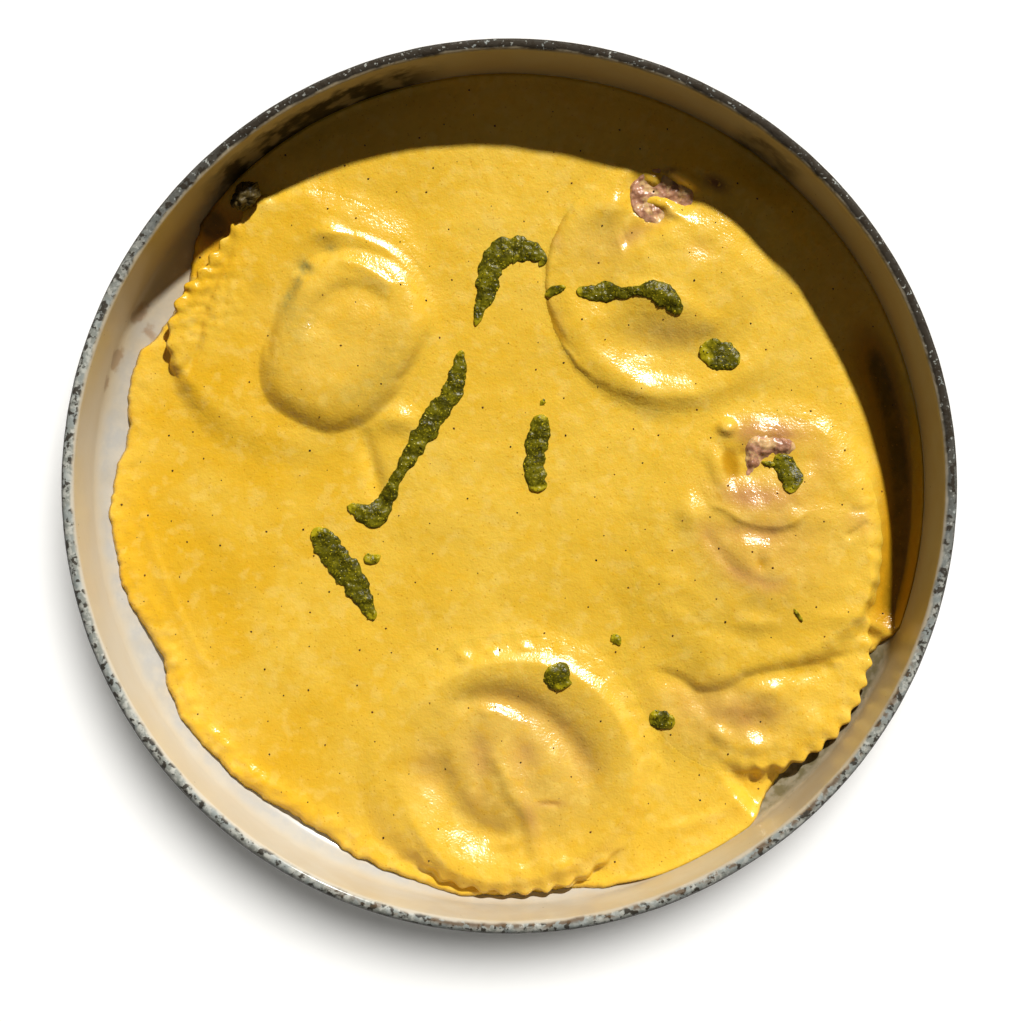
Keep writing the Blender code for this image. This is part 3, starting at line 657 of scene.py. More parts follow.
# Tints over the pool and the ravioli, by mark. Places are from the dish's or raviolo's middle.
MARKS = ("pasta", "blush", "stain", "oil", "spice")
POOL_MARKS = (
    ("oil", fold(1.0, 5.0, 8.0, (84.0, 50.0), (94.0, 30.0), (99.0, 8.0), (99.5, -12.0), (96.5, -32.0),
                 (91.0, -44.0))),
    ("oil", mound(1.0, (-74.0, 68.0), 6.5, 8.0, 45, steep=3.0)),
    ("oil", mound(0.35, (-52.0, 20.0), 40.0, 2.0)),
)  # fmt: skip


def marks_at(tints, u, v):
    """Values of all marks at places, from tints of (mark, feature)."""
    values = {mark: np.zeros(np.shape(u)) for mark in MARKS}
    for mark, feature in tints:
        values[mark] = np.clip(values[mark] + feature(u, v), 0.0, 1.0)
    return values


# Creases that run over several pieces, under the sauce that covers them.
COMMON_FEATURES = (
    fold(-1.0, 1.7, 3.6, (31.5, -46.6), (36.5, -47.4), (41.6, -49.4), (46.6, -53.0), (54.0, -52.0),
         (59.3, -49.2), (66.2, -47.8), (76.9, -46.2), (85.5, -43.8), (89.0, -40.5)),
    mound(-0.5, (44.5, -50.4), 3.0, 2.0, -35),
    mound(0.5, (80.6, -45.6), 2.2, 1.4),
)  # fmt: skip


def food_top(x, y, own=-1):
    """Height of the visible food. A piece that lies lower ignores bare edges laid over it."""
    height = pool_top(x, y)
    for k, raviolo in enumerate(LAYERS):
        direction, _, inside = raviolo.place(x, y)
        blur = np.maximum(around(direction, raviolo.covered), 0.05)
        weight = ramp(-blur, blur, inside)
        if k > own:
            weight = weight * (1 - np.clip(around(direction, raviolo.bare), 0.0, 1.0))
        if k == own:
            bare = np.clip(around(direction, raviolo.bare), 0.0, 1.0)
            weight = weight + (1 - weight) * bare
        touched = weight > 0
        raised = raviolo.top(x[touched], y[touched])
        height[touched] += (raised - height[touched]) * weight[touched]
    for feature in COMMON_FEATURES:
        height = height + feature(x, y)
    return height


def sunk_under_others(x, y, height, own):
    """Takes a piece's surface down under whatever lies over it."""
    for raviolo in LAYERS[own + 1 :]:
        direction, _, inside = raviolo.place(x, y)
        bare = np.clip(around(direction, raviolo.bare), 0.0, 1.0)
        below = raviolo.underside(x, y) - 0.3
        share = ramp(SEAM + 0.7 * bare, 3.2, inside)
        height = height - share * np.maximum(height - below, 0.0)
    return height


# Meshes -----------------------------------------------------------------------------------------
def grid_faces(rows, columns, closed=True):
    """Quads of a grid of points laid out row by row, closed round if wanted."""
    row = np.arange(rows - 1)[:, None] * columns
    column = np.arange(columns if closed else columns - 1)[None, :]
    following = (column + 1) % columns
    corners = (row + column, row + following, row + columns + following, row + columns + column)
    return np.stack(corners, -1).reshape(-1, 4)


def fan_faces(ring, middle):
    """Triangles from each step of a ring of point numbers to a middle point."""
    return np.stack((ring, np.roll(ring, -1), np.full(len(ring), middle)), -1)


def capped_rings(rings, start=None, end=None):
    """Points and faces of a closed form: rings of points, and a middle point over either end.

    Without a start or an end, that point is the middle of the first or the last ring.
    """
    count, turns = rings.shape[:2]
    start = rings[0].mean(0) if start is None else start
    end = rings[-1].mean(0) if end is None else end
    points = np.vstack((rings.reshape(-1, 3), start, end))
    ring, last = np.arange(turns), count * turns
    start_fan = fan_faces(ring, last)[:, ::-1]
    end_fan = fan_faces(ring + last - turns, last + 1)
    return points, [grid_faces(count, turns), start_fan, end_fan]


def made_object(name, points, faces, material, marks=None):
    """A smooth mesh object from points in millimetres, with named values on its points."""
    mesh = bpy.data.meshes.new(name)
    flat = [tuple(face) for part in faces for face in part.tolist()]
    mesh.from_pydata((points * MM).tolist(), [], flat)
    mesh.shade_smooth()
    for mark, values in (marks or {}).items():
        layer = mesh.attributes.new(mark, "FLOAT", "POINT")
        layer.data.foreach_set("value", np.ascontiguousarray(values, np.float32))
    mesh.materials.append(material)
    made = bpy.data.objects.new(name, mesh)
    bpy.context.scene.collection.objects.link(made)
    return made


def turned_outwards(made):
    """Recalculates a closed mesh's normals so that its faces point outwards."""
    bm = bmesh.new()
    bm.from_mesh(made.data)
    bmesh.ops.recalc_face_normals(bm, faces=bm.faces)
    bm.to_mesh(made.data)
    bm.free()
    return made


def ready(made, slot, *nodes):
    """Puts a finished piece on the dish, and hides the solid parts that it stands for."""
    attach(made, BODY)
    if nodes:
        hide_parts(*nodes)
    return made


# Materials --------------------------------------------------------------------------------------
class Link:
    """An output among a material's nodes. Arithmetic on it adds Math nodes."""

    def __init__(self, finish, socket):
        self.finish = finish
        self.socket = socket

    def math(self, operation, *values):
        inputs = dict(enumerate(values))
        return self.finish.node("Math", {"operation": operation}, inputs)

    def __add__(self, other):
        return self.math("ADD", self, other)

    def __sub__(self, other):
        return self.math("SUBTRACT", self, other)

    def __rsub__(self, other):
        return self.math("SUBTRACT", other, self)

    def __mul__(self, other):
        return self.math("MULTIPLY", self, other)

    def __truediv__(self, other):
        return self.math("DIVIDE", self, other)

    def __pow__(self, other):
        return self.math("POWER", self, other)

    __radd__ = __add__

    def between(self, low, high):
        """0 up to low, 1 from high on, and a soft rise between. With low above high it falls."""
        if low > high:
            return 1 - self.between(high, low)
        settings = {"interpolation_type": "SMOOTHSTEP"}
        return self.finish.node("MapRange", settings, {0: self, 1: low, 2: high, 3: 0.0, 4: 1.0})


class Finish:
    """Builds one material's nodes round its Principled shader."""

    def __init__(self, name):
        self.material = bpy.data.materials.new(name)
        self.material.use_nodes = True
        self.tree = self.material.node_tree
        self.shader = self.tree.nodes["Principled BSDF"]
        place = self.node("TexCoord", {}, {}, "Object")
        settings = {"operation": "SCALE"}
        self.spot = self.node("VectorMath", settings, {0: place, "Scale": 1 / MM})

    def node(self, kind, settings, inputs, out=0):
        """Adds a node, sets it up, then gives its inputs values or links, by name or number."""
        made = self.tree.nodes.new("ShaderNode" + kind)
        for key, value in settings.items():
            setattr(made, key, value)
        for key, value in inputs.items():
            self.feed(made.inputs[key], value)
        return Link(self, made.outputs[out])

    def feed(self, socket, value):
        if isinstance(value, Link):
            self.tree.links.new(value.socket, socket)
        elif socket.type == "RGBA":
            socket.default_value = (*value[:3], 1.0)
        else:
            socket.default_value = value

    def set(self, **values):
        """Feeds the shader's own sockets, named with _ for a space."""
        for key, value in values.items():
            self.feed(self.shader.inputs[key.replace("_", " ")], value)
        return self.material

    def mix(self, share, one, other):
        """A colour between two."""
        return self.node("Mix", {"data_type": "RGBA"}, {0: share, 6: one, 7: other}, 2)

    def noise(self, size, detail=2.0):
        """Noise from 0 to 1, its swells about size millimetres across."""
        inputs = {"Vector": self.spot, "Scale": 1 / size, "Detail": detail}
        return self.node("TexNoise", {}, inputs, 0)

    def cells(self, size, out="Distance"):
        """Distance to the nearest of scattered spots about size millimetres apart, as a share."""
        return self.node("TexVoronoi", {}, {"Vector": self.spot, "Scale": 1 / size}, out)

    def chance(self, size):
        """A random number from 0 to 1 for each of those spots."""
        return self.node("SeparateColor", {}, {0: self.cells(size, "Color")}, 0)

    def dots(self, spacing, radius, share):
        """Scattered dots: their spacing, their radius and the share of places that have one."""
        dot = self.cells(spacing).between(radius / spacing, 0.4 * radius / spacing)
        return dot * self.chance(spacing).between(1 - share, 1.02 - share)

    def mark(self, name):
        """Value of a mark on the piece's points."""
        return self.node("Attribute", {"attribute_name": name}, {}, "Fac")

    def axis(self, name):
        """One of the place's numbers, in millimetres."""
        return self.node("SeparateXYZ", {}, {0: self.spot}, name)

    def bump(self, height, depth):
        """A bump of that depth in millimetres where height goes from 0 to 1."""
        return self.node("Bump", {}, {"Height": height, "Distance": depth * MM, "Strength": 1.0}, 0)


def creamy_sauce(name, colours):
    """Creamy yellow sauce, on the pool and on every raviolo: wet, grainy, freckled with spice."""
    f = Finish(name)
    # The sauce: uneven, more orange towards the left and where spice gathers, paler with cream.
    broad = f.noise(24.0, 3.0).between(0.38, 0.62)
    colour = f.mix(broad, colours.sauce, colours.sauce_deep)
    spiced = f.axis("X").between(10.0, -95.0) * f.noise(16.0, 4.0).between(0.35, 0.65) * 0.95
    colour = f.mix(spiced, colour, colours.sauce_orange)
    colour = f.mix(f.mark("pasta"), colour, colours.coated_pasta)
    colour = f.mix(f.noise(2.6, 5.0).between(0.48, 0.70) * 0.42, colour, colours.sauce_orange)
    colour = f.mix(f.noise(3.7, 5.0).between(0.50, 0.68) * 0.40, colour, colours.sauce_pale)
    # What shows through it: filling, herbs, oil and dark spice, and its own freckles. The blush and oil
    # marks, and the pasta mark above, also carry painted shade along a few creases, edges and hollows.
    patches = f.noise(5.0, 3.0).between(0.40, 0.62) * 0.35 + 0.75
    colour = f.mix(f.mark("blush") * patches, colour, colours.blush)
    herbs = f.noise(1.6, 3.0).between(0.30, 0.60) * 0.6 + 0.5
    colour = f.mix(f.mark("stain") * herbs, colour, colours.stain)
    deep = f.mark("oil").between(0.76, 0.98) * (f.noise(7.0, 3.0).between(0.36, 0.64) * 0.3 + 0.7)
    oil_and_shade_tint = f.mix(deep, colours.orange_oil, colours.amber_oil)
    colour = f.mix(f.mark("oil").between(0.15, 0.85), colour, oil_and_shade_tint)
    bits = f.noise(1.2, 2.0).between(0.30, 0.45)
    colour = f.mix(f.mark("spice") * bits, colour, colours.dark_spice)
    colour = f.mix(f.dots(1.3, 0.28, 0.50) * 0.55, colour, colours.freckle)
    grain = f.noise(0.55, 2.0) * 0.40 + f.noise(1.5, 3.0) * 0.60
    wetness = f.noise(5.0, 3.0).between(0.35, 0.65)
    roughness = 0.27 - wetness * 0.09 - f.mark("oil") * 0.10
    return f.set(
        Base_Color=colour,
        Roughness=roughness,
        Normal=f.bump(grain, 0.21),
        Coat_Weight=0.10,
        Coat_Roughness=0.10,
        Subsurface_Weight=0.18,
        Subsurface_Radius=(1.0, 0.6, 0.25),
        Subsurface_Scale=0.0012,
        Specular_IOR_Level=0.42,
    )


# Sides of the bowl where its glaze is coloured differently, as directions in degrees: stains, films and
# rust, and painted light and shade.
PAINTED_LIT_SIDE = 185.0
GREASY_SIDE = 321.0
WET_SIDE = 321.5
FILM_AND_SHADE_SIDES = (75.0, 85.0)
DARK_BAND_SIDES = (117.0, 51.0)
IRON_AND_SHADE_SIDE = 68.0
RUSTY_SIDE = 292.0
# Dry stains on the wall and the floor: (place, reach).
STAINS = (
    ((-93.3, 46.0, 12.0), 3.4),
    ((-90.5, 41.0, 10.0), 3.0),
    ((-98.4, 34.0, 14.0), 3.6),
    ((-100.2, 28.0, 15.0), 2.4),
)


def speckled_glaze(name, colours):
    """The bowl: cream glaze inside, and a blue-grey glaze with iron flecks on rim and outside."""
    f = Finish(name)
    x, y, z = f.axis("X"), f.axis("Y"), f.axis("Z")
    radius = (x * x + y * y) ** 0.5 + 0.001

    def towards(direction):
        """Cosine of how far a place lies from a direction in degrees."""
        turn = math.radians(direction)
        return (x * math.cos(turn) + y * math.sin(turn)) / radius

    # Cream inside: worn in places, and whiter on the floor. The lit left side is painted paler: painted
    # light.
    cream = f.mix(f.noise(14.0, 4.0).between(0.35, 0.65), colours.cream, colours.cream_worn)
    cream = f.mix(towards(PAINTED_LIT_SIDE).between(0.2, 0.95) * 0.8, cream, colours.cream_pale)
    bare_floor = z.between(FLOOR_HEIGHT + 6.0, FLOOR_HEIGHT + 1.5)
    bare_floor = bare_floor * (0.55 + f.noise(4.0, 4.0).between(0.35, 0.6) * 0.4)
    cream = f.mix(bare_floor, cream, colours.floor_white)

    # What the food left on it: a film, a wet patch, dry stains and specks. The film's colour is also
    # spread over the shaded back of the wall as painted shade, and the wall has dark bands low at the
    # back.
    smudge = f.noise(3.0, 4.0)
    film = z.between(26.0, 12.0) * f.noise(9.0, 4.0).between(0.35, 0.75) * 0.25
    film = film + towards(GREASY_SIDE).between(0.90, 0.99) * 0.30
    cream = f.mix(film, cream, colours.greasy_film)
    on_floor = (radius + smudge * 2.0).between(WALL_FOOT_RADIUS + 1.0, WALL_FOOT_RADIUS - 0.4)
    wet = towards(WET_SIDE).between(0.945, 0.978) * on_floor
    cream = f.mix(wet * (0.6 + smudge.between(0.4, 0.6) * 0.4), cream, colours.wet_floor)
    # Near the sauce this is its film; over the back half of the wall, which lies in shade, it is
    # painted shade.
    film_and_shade_band = z.between(27.0, 19.0) * towards(FILM_AND_SHADE_SIDES[0]).between(0.10, 0.70) * 0.35
    film_and_shade_band = film_and_shade_band + towards(FILM_AND_SHADE_SIDES[1]).between(-0.1, 0.6) * 0.40
    cream = f.mix(film_and_shade_band, cream, colours.greasy_film)
    # Dark patchy bands low on the wall, at two sides towards the back.
    dark_band = towards(DARK_BAND_SIDES[0]).between(0.935, 0.980)
    dark_band = dark_band + towards(DARK_BAND_SIDES[1]).between(0.994, 0.999) * 0.7
    dark_band = dark_band * (z + smudge * 12.0).between(37.0, 31.0)
    dark_band = dark_band * (0.50 + f.noise(6.0, 4.0).between(0.40, 0.58) * 0.5)
    cream = f.mix(dark_band, cream, colours.fleck)
    for place, reach in STAINS:
        away = f.node("VectorMath", {"operation": "DISTANCE"}, {0: f.spot, 1: place}, "Value")
        stain = (away + smudge * 6.0).between(reach + 3.2, reach + 1.4) * 0.65
        cream = f.mix(stain, cream, colours.stained)
    cream = f.mix(f.dots(3.4, 0.30, 0.22) * 0.8, cream, colours.fleck)

    # Grey outside: clouded and flecked, rusty in front, and nearly black at the back: partly the iron
    # of the glaze, partly painted shade where the rim lies in the lamp's shade.
    flecks = f.noise(1.7, 4.0).between(0.52, 0.60)
    grey = f.mix(f.noise(1.1, 3.0).between(0.42, 0.62), colours.rim_grey, colours.rim_pale)
    grey = f.mix(f.noise(5.0, 3.0).between(0.45, 0.60) * 0.5, grey, colours.rim_blue)
    grey = f.mix(flecks * 0.9, grey, colours.fleck)
    drift = (f.noise(6.0, 3.0) - 0.5) * 1.6
    rusty = towards(RUSTY_SIDE).between(0.55, 0.85)
    rusty = rusty * (radius + drift).between(RIM_RADIUS - 1.1, RIM_RADIUS - 2.4)
    rusty = rusty * f.noise(2.2, 3.0).between(0.47, 0.56) * 0.85
    grey = f.mix(rusty, grey, colours.rust)
    # iron is the dark of the rim at the back: partly iron in the glaze, partly painted shade.
    iron = towards(IRON_AND_SHADE_SIDE).between(-0.10, 0.55)
    crown = (radius + drift * 0.4).between(RIM_RADIUS - 3.0, RIM_RADIUS - 2.4)
    crown = crown * (radius + drift * 0.3).between(RIM_RADIUS - 0.8, RIM_RADIUS - 1.4)
    # glints are painted highlights: pale specks where the dark at the back gives way to the grey glaze.
    glints = f.noise(1.0, 3.0).between(0.60, 0.66) * 0.75
    grey = f.mix(iron * (0.92 + crown * 0.06 - glints), grey, colours.fleck)
    # Painted shade: the lip's outer edge, where it turns down, darkened all round.
    shaded_lip_edge = (radius + drift * 0.4).between(RIM_RADIUS - 1.0, RIM_RADIUS - 0.4)
    shaded_lip_edge = shaded_lip_edge * z.between(RIM_HEIGHT - 4.0, RIM_HEIGHT - 1.4) * 0.9
    grey = f.mix(shaded_lip_edge, grey, colours.fleck)

    outer = (radius + drift).between(RIM_RADIUS - 3.3, RIM_RADIUS - 2.5)
    grain = f.noise(0.9, 3.0) * 0.35 + flecks * outer * 0.5
    return f.set(
        Base_Color=f.mix(outer, cream, grey),
        Roughness=f.noise(4.0, 2.0) * 0.15 + 0.30 + outer * (iron * 0.22 + 0.12) - wet * 0.28,
        Normal=f.bump(grain, 0.12),
        Coat_Weight=0.30 - outer * 0.12 - outer * iron * 0.18,
        Coat_Roughness=0.15,
        Specular_IOR_Level=0.10,
    )


def minced_filling(name, colours):
    """Minced cooked filling, pinkish brown with paler and darker crumbs, coated here and there."""
    f = Finish(name)
    colour = f.mix(f.noise(1.7, 4.0).between(0.44, 0.60), colours.filling, colours.filling_dark)
    colour = f.mix(f.noise(2.9, 4.0).between(0.46, 0.60) * 0.80, colour, colours.filling_coat)
    grain = f.noise(1.1, 3.0) * 0.6 + f.noise(0.5, 3.0) * 0.4
    return f.set(
        Base_Color=colour,
        Roughness=f.noise(1.5, 2.0) * 0.2 + 0.22,
        Normal=f.bump(grain, 0.12),
        Subsurface_Weight=0.25,
        Subsurface_Radius=(1.0, 0.5, 0.3),
        Subsurface_Scale=0.0012,
        Specular_IOR_Level=0.45,
    )


def herb_oil(name, colours):
    """Herb oil thick with chopped leaf: dark olive, and clear yellow green where leaf is scarce."""
    f = Finish(name)
    leaf = f.chance(0.8)
    thick = f.noise(3.4, 3.0).between(0.34, 0.58)
    clear = (f.mark("clear") + (f.noise(2.1, 3.0) - 0.5) * 1.1).between(0.35, 0.85)
    colour = f.mix(thick, colours.herb, colours.herb_dark)
    colour = f.mix(leaf.between(0.55, 0.95) * 0.55, colour, colours.herb)
    colour = f.mix(clear * 0.85, colour, colours.herb_bright)
    colour = f.mix(f.noise(0.5, 2.0).between(0.58, 0.68) * 0.55, colour, colours.herb_bright)
    grain = f.noise(0.45, 2.0) * 0.5 + f.cells(0.8) * 0.5
    return f.set(
        Base_Color=colour,
        Roughness=f.noise(0.8, 2.0) * 0.14 + 0.26,
        Normal=f.bump(grain, 0.16),
        Specular_IOR_Level=0.18,
    )


def leaf_flake(name, colours):
    """Chopped leaf, dark green to olive from flake to flake."""
    f = Finish(name)
    tone = f.noise(1.1, 1.0)
    colour = f.mix(tone.between(0.35, 0.55), colours.herb_dark, colours.herb)
    colour = f.mix(tone.between(0.56, 0.64), colour, colours.herb_bright)
    return f.set(
        Base_Color=colour,
        Roughness=f.noise(0.6, 1.0) * 0.15 + 0.14,
        Normal=f.bump(f.noise(0.2, 2.0), 0.04),
        Specular_IOR_Level=0.3,
    )


def pepper(name, colours):
    """Cracked black pepper and dark spice."""
    f = Finish(name)
    colour = f.mix(f.noise(4.0, 1.0).between(0.4, 0.6), colours.pepper, colours.spice)
    return f.set(
        Base_Color=colour,
        Roughness=0.6,
        Normal=f.bump(f.noise(0.1, 2.0), 0.03),
        Specular_IOR_Level=0.15,
    )


def baked_on(name, colours):
    """A lump of food baked dark onto the wall."""
    f = Finish(name)
    colour = f.mix(f.noise(2.6, 3.0).between(0.34, 0.62), colours.baked_dark, colours.baked)
    return f.set(
        Base_Color=colour,
        Roughness=f.noise(1.0, 2.0) * 0.2 + 0.35,
        Normal=f.bump(f.noise(1.6, 2.0), 0.10),
        Specular_IOR_Level=0.2,
    )


def pale_floor(name):
    """The stage's floor, nearly white, and a little luminous so that shadows on it stay pale."""
    f = Finish(name)
    tint = f.mix(f.noise(60.0, 2.0), (0.92, 0.92, 0.92), (0.95, 0.95, 0.95))
    return f.set(
        Base_Color=tint,
        Roughness=0.9,
        Emission_Color=(1.0, 1.0, 1.0),
        Emission_Strength=0.09,
        Specular_IOR_Level=0.1,
    )


# What a user would change -----------------------------------------------------------------------
def colour_setting(name, about, value):
    return bpy.props.FloatVectorProperty(
        name=name, description=about, default=value, subtype="COLOR", size=3, min=0.0, max=1.0
    )


class DISH_PG_colours(bpy.types.PropertyGroup):
    """Colours of the dish, as linear values."""

    sauce: colour_setting("Sauce", "Creamy sauce", (0.83, 0.535, 0.060))
    sauce_deep: colour_setting("Deep sauce", "Sauce where it is thicker", (0.80, 0.495, 0.042))
    sauce_orange: colour_setting("Orange sauce", "Sauce with more spice", (0.78, 0.440, 0.014))
    sauce_pale: colour_setting("Pale sauce", "Sauce with more cream", (0.88, 0.620, 0.135))
    # Also painted shade in a hollow of a raviolo.
    coated_pasta: colour_setting("Coated pasta", "Pasta under a thin coat", (0.70, 0.445, 0.075))
    # Also painted shade in a few hollows and valleys.
    blush: colour_setting("Blush", "Filling that shows through the pasta", (0.56, 0.285, 0.090))
    stain: colour_setting("Stain", "Grey green of herbs under the sauce", (0.34, 0.27, 0.065))
    amber_oil: colour_setting("Amber oil", "Oil where it is deep", (0.17, 0.095, 0.003))
    # Also painted shade along two creases.
    orange_oil: colour_setting("Orange oil", "Clear oil on the sauce", (0.54, 0.27, 0.008))
    dark_spice: colour_setting("Dark spice", "Reddish brown bits", (0.20, 0.055, 0.022))
    freckle: colour_setting("Freckle", "Spice in the sauce", (0.55, 0.25, 0.010))
    cream: colour_setting("Cream glaze", "Inside of the bowl", (0.53, 0.485, 0.40))
    cream_worn: colour_setting("Worn cream", "Cream glaze where it is thin", (0.50, 0.43, 0.32))
    # Painted light: the paler cream of the lit side.
    cream_pale: colour_setting("Pale cream", "Cream glaze on the lit side", (0.60, 0.55, 0.455))
    floor_white: colour_setting("White floor", "Glaze of the bowl's floor", (0.43, 0.43, 0.42))
    # Also painted shade on the shaded back of the wall.
    greasy_film: colour_setting("Greasy film", "What the sauce left behind", (0.54, 0.41, 0.20))
    wet_floor: colour_setting("Wet floor", "Grey oily film on the floor", (0.17, 0.145, 0.075))
    stained: colour_setting("Dry stain", "Brown smears on the wall", (0.30, 0.19, 0.11))
    rim_grey: colour_setting("Rim grey", "Blue-grey glaze", (0.27, 0.28, 0.25))
    rim_pale: colour_setting("Pale rim", "Blue-grey glaze where it is thick", (0.50, 0.50, 0.45))
    rim_blue: colour_setting("Blue rim", "The glaze's bluish clouds", (0.30, 0.34, 0.34))
    rust: colour_setting("Rust", "Brown specks of the rim", (0.13, 0.075, 0.035))
    # Also painted shade on the rim and its outer edge.
    fleck: colour_setting("Iron fleck", "Dark flecks in the glaze", (0.030, 0.022, 0.014))
    filling: colour_setting("Filling", "Minced filling", (0.53, 0.275, 0.165))
    filling_dark: colour_setting("Dark filling", "Browned crumbs", (0.36, 0.165, 0.090))
    filling_coat: colour_setting("Coated filling", "Filling thinly coated", (0.76, 0.50, 0.22))
    herb: colour_setting("Herb", "Chopped leaf in oil", (0.145, 0.128, 0.004))
    herb_dark: colour_setting("Dark herb", "Leaf in shade", (0.052, 0.047, 0.002))
    herb_bright: colour_setting("Bright herb", "Oil between the leaf", (0.46, 0.37, 0.008))
    pepper: colour_setting("Pepper", "Black pepper", (0.030, 0.014, 0.005))
    spice: colour_setting("Spice", "Brown spice", (0.16, 0.060, 0.012))
    baked: colour_setting("Baked on", "Lump baked onto the wall", (0.095, 0.065, 0.018))
    baked_dark: colour_setting("Burnt", "Its darkest parts", (0.020, 0.014, 0.006))


class DISH_PG_sizes(bpy.types.PropertyGroup):
    """Sizes and counts of the dish's finer things."""

    raviolo_turns: bpy.props.IntProperty(
        name="Raviolo turns", description="Points round a raviolo", default=576, min=114
    )
    raviolo_rings: bpy.props.IntProperty(
        name="Raviolo rings", description="Rings of points on a raviolo's top", default=112, min=24
    )
    sauce_rings: bpy.props.IntProperty(
        name="Sauce rings", description="Rings of points on the sauce", default=152, min=24
    )
    bowl_turns: bpy.props.IntProperty(
        name="Bowl turns", description="Points round the bowl", default=480, min=60
    )
    pepper_spacing: bpy.props.FloatProperty(
        name="Pepper spacing", description="Least distance between specks",
        default=6.0 * MM, unit="LENGTH", precision=5,
    )  # fmt: skip
    pepper_seed: bpy.props.IntProperty(
        name="Pepper seed", description="Where the specks fall", default=7
    )
    flake_length: bpy.props.FloatProperty(
        name="Flake length", description="Length of a chopped herb flake",
        default=0.9 * MM, unit="LENGTH", precision=5,
    )  # fmt: skip
    flake_seed: bpy.props.IntProperty(
        name="Flake seed", description="Where the herb flakes fall", default=3
    )


def finish_of(maker, context):
    """The material that a maker function gives, made once."""
    name = "dish_" + maker.__name__
    return bpy.data.materials.get(name) or maker(name, context.scene.dish_colours)


# Bowl -------------------------------------------------------------------------------------------
def arc(centre, radius, start, end, count):
    """Points (radius, height) along an arc from one direction in degrees to another."""
    turns = np.radians(np.linspace(start, end, count))
    return [(centre[0] + radius * math.cos(t), centre[1] + radius * math.sin(t)) for t in turns]


def bowl_profile():
    """The bowl's section, from the middle of the floor over the rim to the middle below."""
    lip = WALL_THICKNESS / 2
    shoulder, base = 12.0, 3.5
    lip_centre = (RIM_RADIUS - lip, RIM_HEIGHT - lip)
    fillet_centre = (FILLET_CENTRE_RADIUS, FILLET_CENTRE_HEIGHT)
    shoulder_centre = (RIM_RADIUS - 0.8 - shoulder, base + shoulder)
    points = [(0.0, FLOOR_HEIGHT), (50.0, FLOOR_HEIGHT), (85.0, FLOOR_HEIGHT)]
    points += arc(fillet_centre, FLOOR_FILLET, -90, 0, 12)
    for k in range(1, 6):
        points.append((WALL_FOOT_RADIUS + WALL_LEAN * k / 6, FILLET_CENTRE_HEIGHT + k * 2.7))
    points += arc(lip_centre, lip, 180, 0, 13)
    points += [(RIM_RADIUS - 0.1 * k, RIM_HEIGHT - lip - 3.0 * k) for k in range(1, 6)]
    points += arc(shoulder_centre, shoulder, 0, -90, 10)
    points += [(FOOT_RADIUS + 1.5, base), (FOOT_RADIUS + 0.3, 0.4), (FOOT_RADIUS - 0.4, 0.0)]
    points += [(FOOT_RADIUS - FOOT_WIDTH + 0.4, 0.0), (FOOT_RADIUS - FOOT_WIDTH - 0.3, 0.5)]
    points += [(FOOT_RADIUS - FOOT_WIDTH - 1.0, FOOT_RECESS), (40.0, FOOT_RECESS), (0.0, FOOT_RECESS)]
    return points


def bowl_points(turns):
    """The profile turned round, slightly uneven as a hand-made bowl is."""
    direction = np.arange(turns) * 2 * math.pi / turns
    c, s = np.cos(direction), np.sin(direction)
    sway = 0.22 * waves(c * 2, s * 2, 1.3, 21) + 0.10 * waves(c * 5, s * 5, 1.0, 22)
    rings = []
    for radius, height in bowl_profile()[1:-1]:
        raised = (height / RIM_HEIGHT) ** 2
        outside = radius - 0.35 * (1 + sway) * raised * (radius > 100)
        dents = 0.05 * waves(c * 24, s * 24 + height * 0.3, 1.0, 23) * raised
        r = outside + dents
        z = height + 0.25 * (sway - 0.6) * raised * (height > 12)
        rings.append(np.stack((r * c, r * s, np.broadcast_to(z, r.shape)), -1))
    return np.array(rings)


class DISH_OT_bowl(bpy.types.Operator):
    """Make the stoneware bowl"""

    bl_idname = "dish.bowl"
    bl_label = "Bowl"

    def execute(self, context):
        rings = bowl_points(context.scene.dish_sizes.bowl_turns)
        points, faces = capped_rings(rings, (0.0, 0.0, FLOOR_HEIGHT), (0.0, 0.0, FOOT_RECESS))
        glaze = finish_of(speckled_glaze, context)
        bowl = turned_outwards(made_object("stoneware_bowl", points, faces, glaze))
        ready(bowl, "cream_glaze", "bowl")
        return {"FINISHED"}


# Sauce ------------------------------------------------------------------------------------------
SAUCE_GAP = 0.06  # height of the sauce's underside over the bowl
SAUCE_INSETS = (0.1, 3.0, 8.0)  # how far in from the edge the rings of its underside lie


def disc_places(rings):
    """Rows of places on a unit disc, ring k having 8 k points, as direction and share.

    They are the points of a square grid drawn out to a disc, so rows and columns stay even.
    """
    side = np.linspace(-1.0, 1.0, 2 * rings + 1)
    a, b = np.meshgrid(side, side, indexing="ij")
    share = np.maximum(np.abs(a), np.abs(b))
    wide = np.abs(a) >= np.abs(b)
    safe = np.where(share > 0, share, 1.0)
    turn = np.where(wide, b / safe * np.sign(a), -a / safe * np.sign(b)) * 45.0
    base = np.where(wide, np.where(a >= 0, 0.0, 180.0), np.where(b >= 0, 90.0, 270.0))
    return (base + turn) % 360.0, share


def border_ring(side):
    """Point numbers round the edge of a square grid with that many points a side."""
    last = side - 1
    near = [i * side for i in range(last)]
    right = [last * side + j for j in range(last)]
    far = [i * side + last for i in range(last, 0, -1)]
    left = list(range(last, 0, -1))
    return np.array(near + right + far + left)


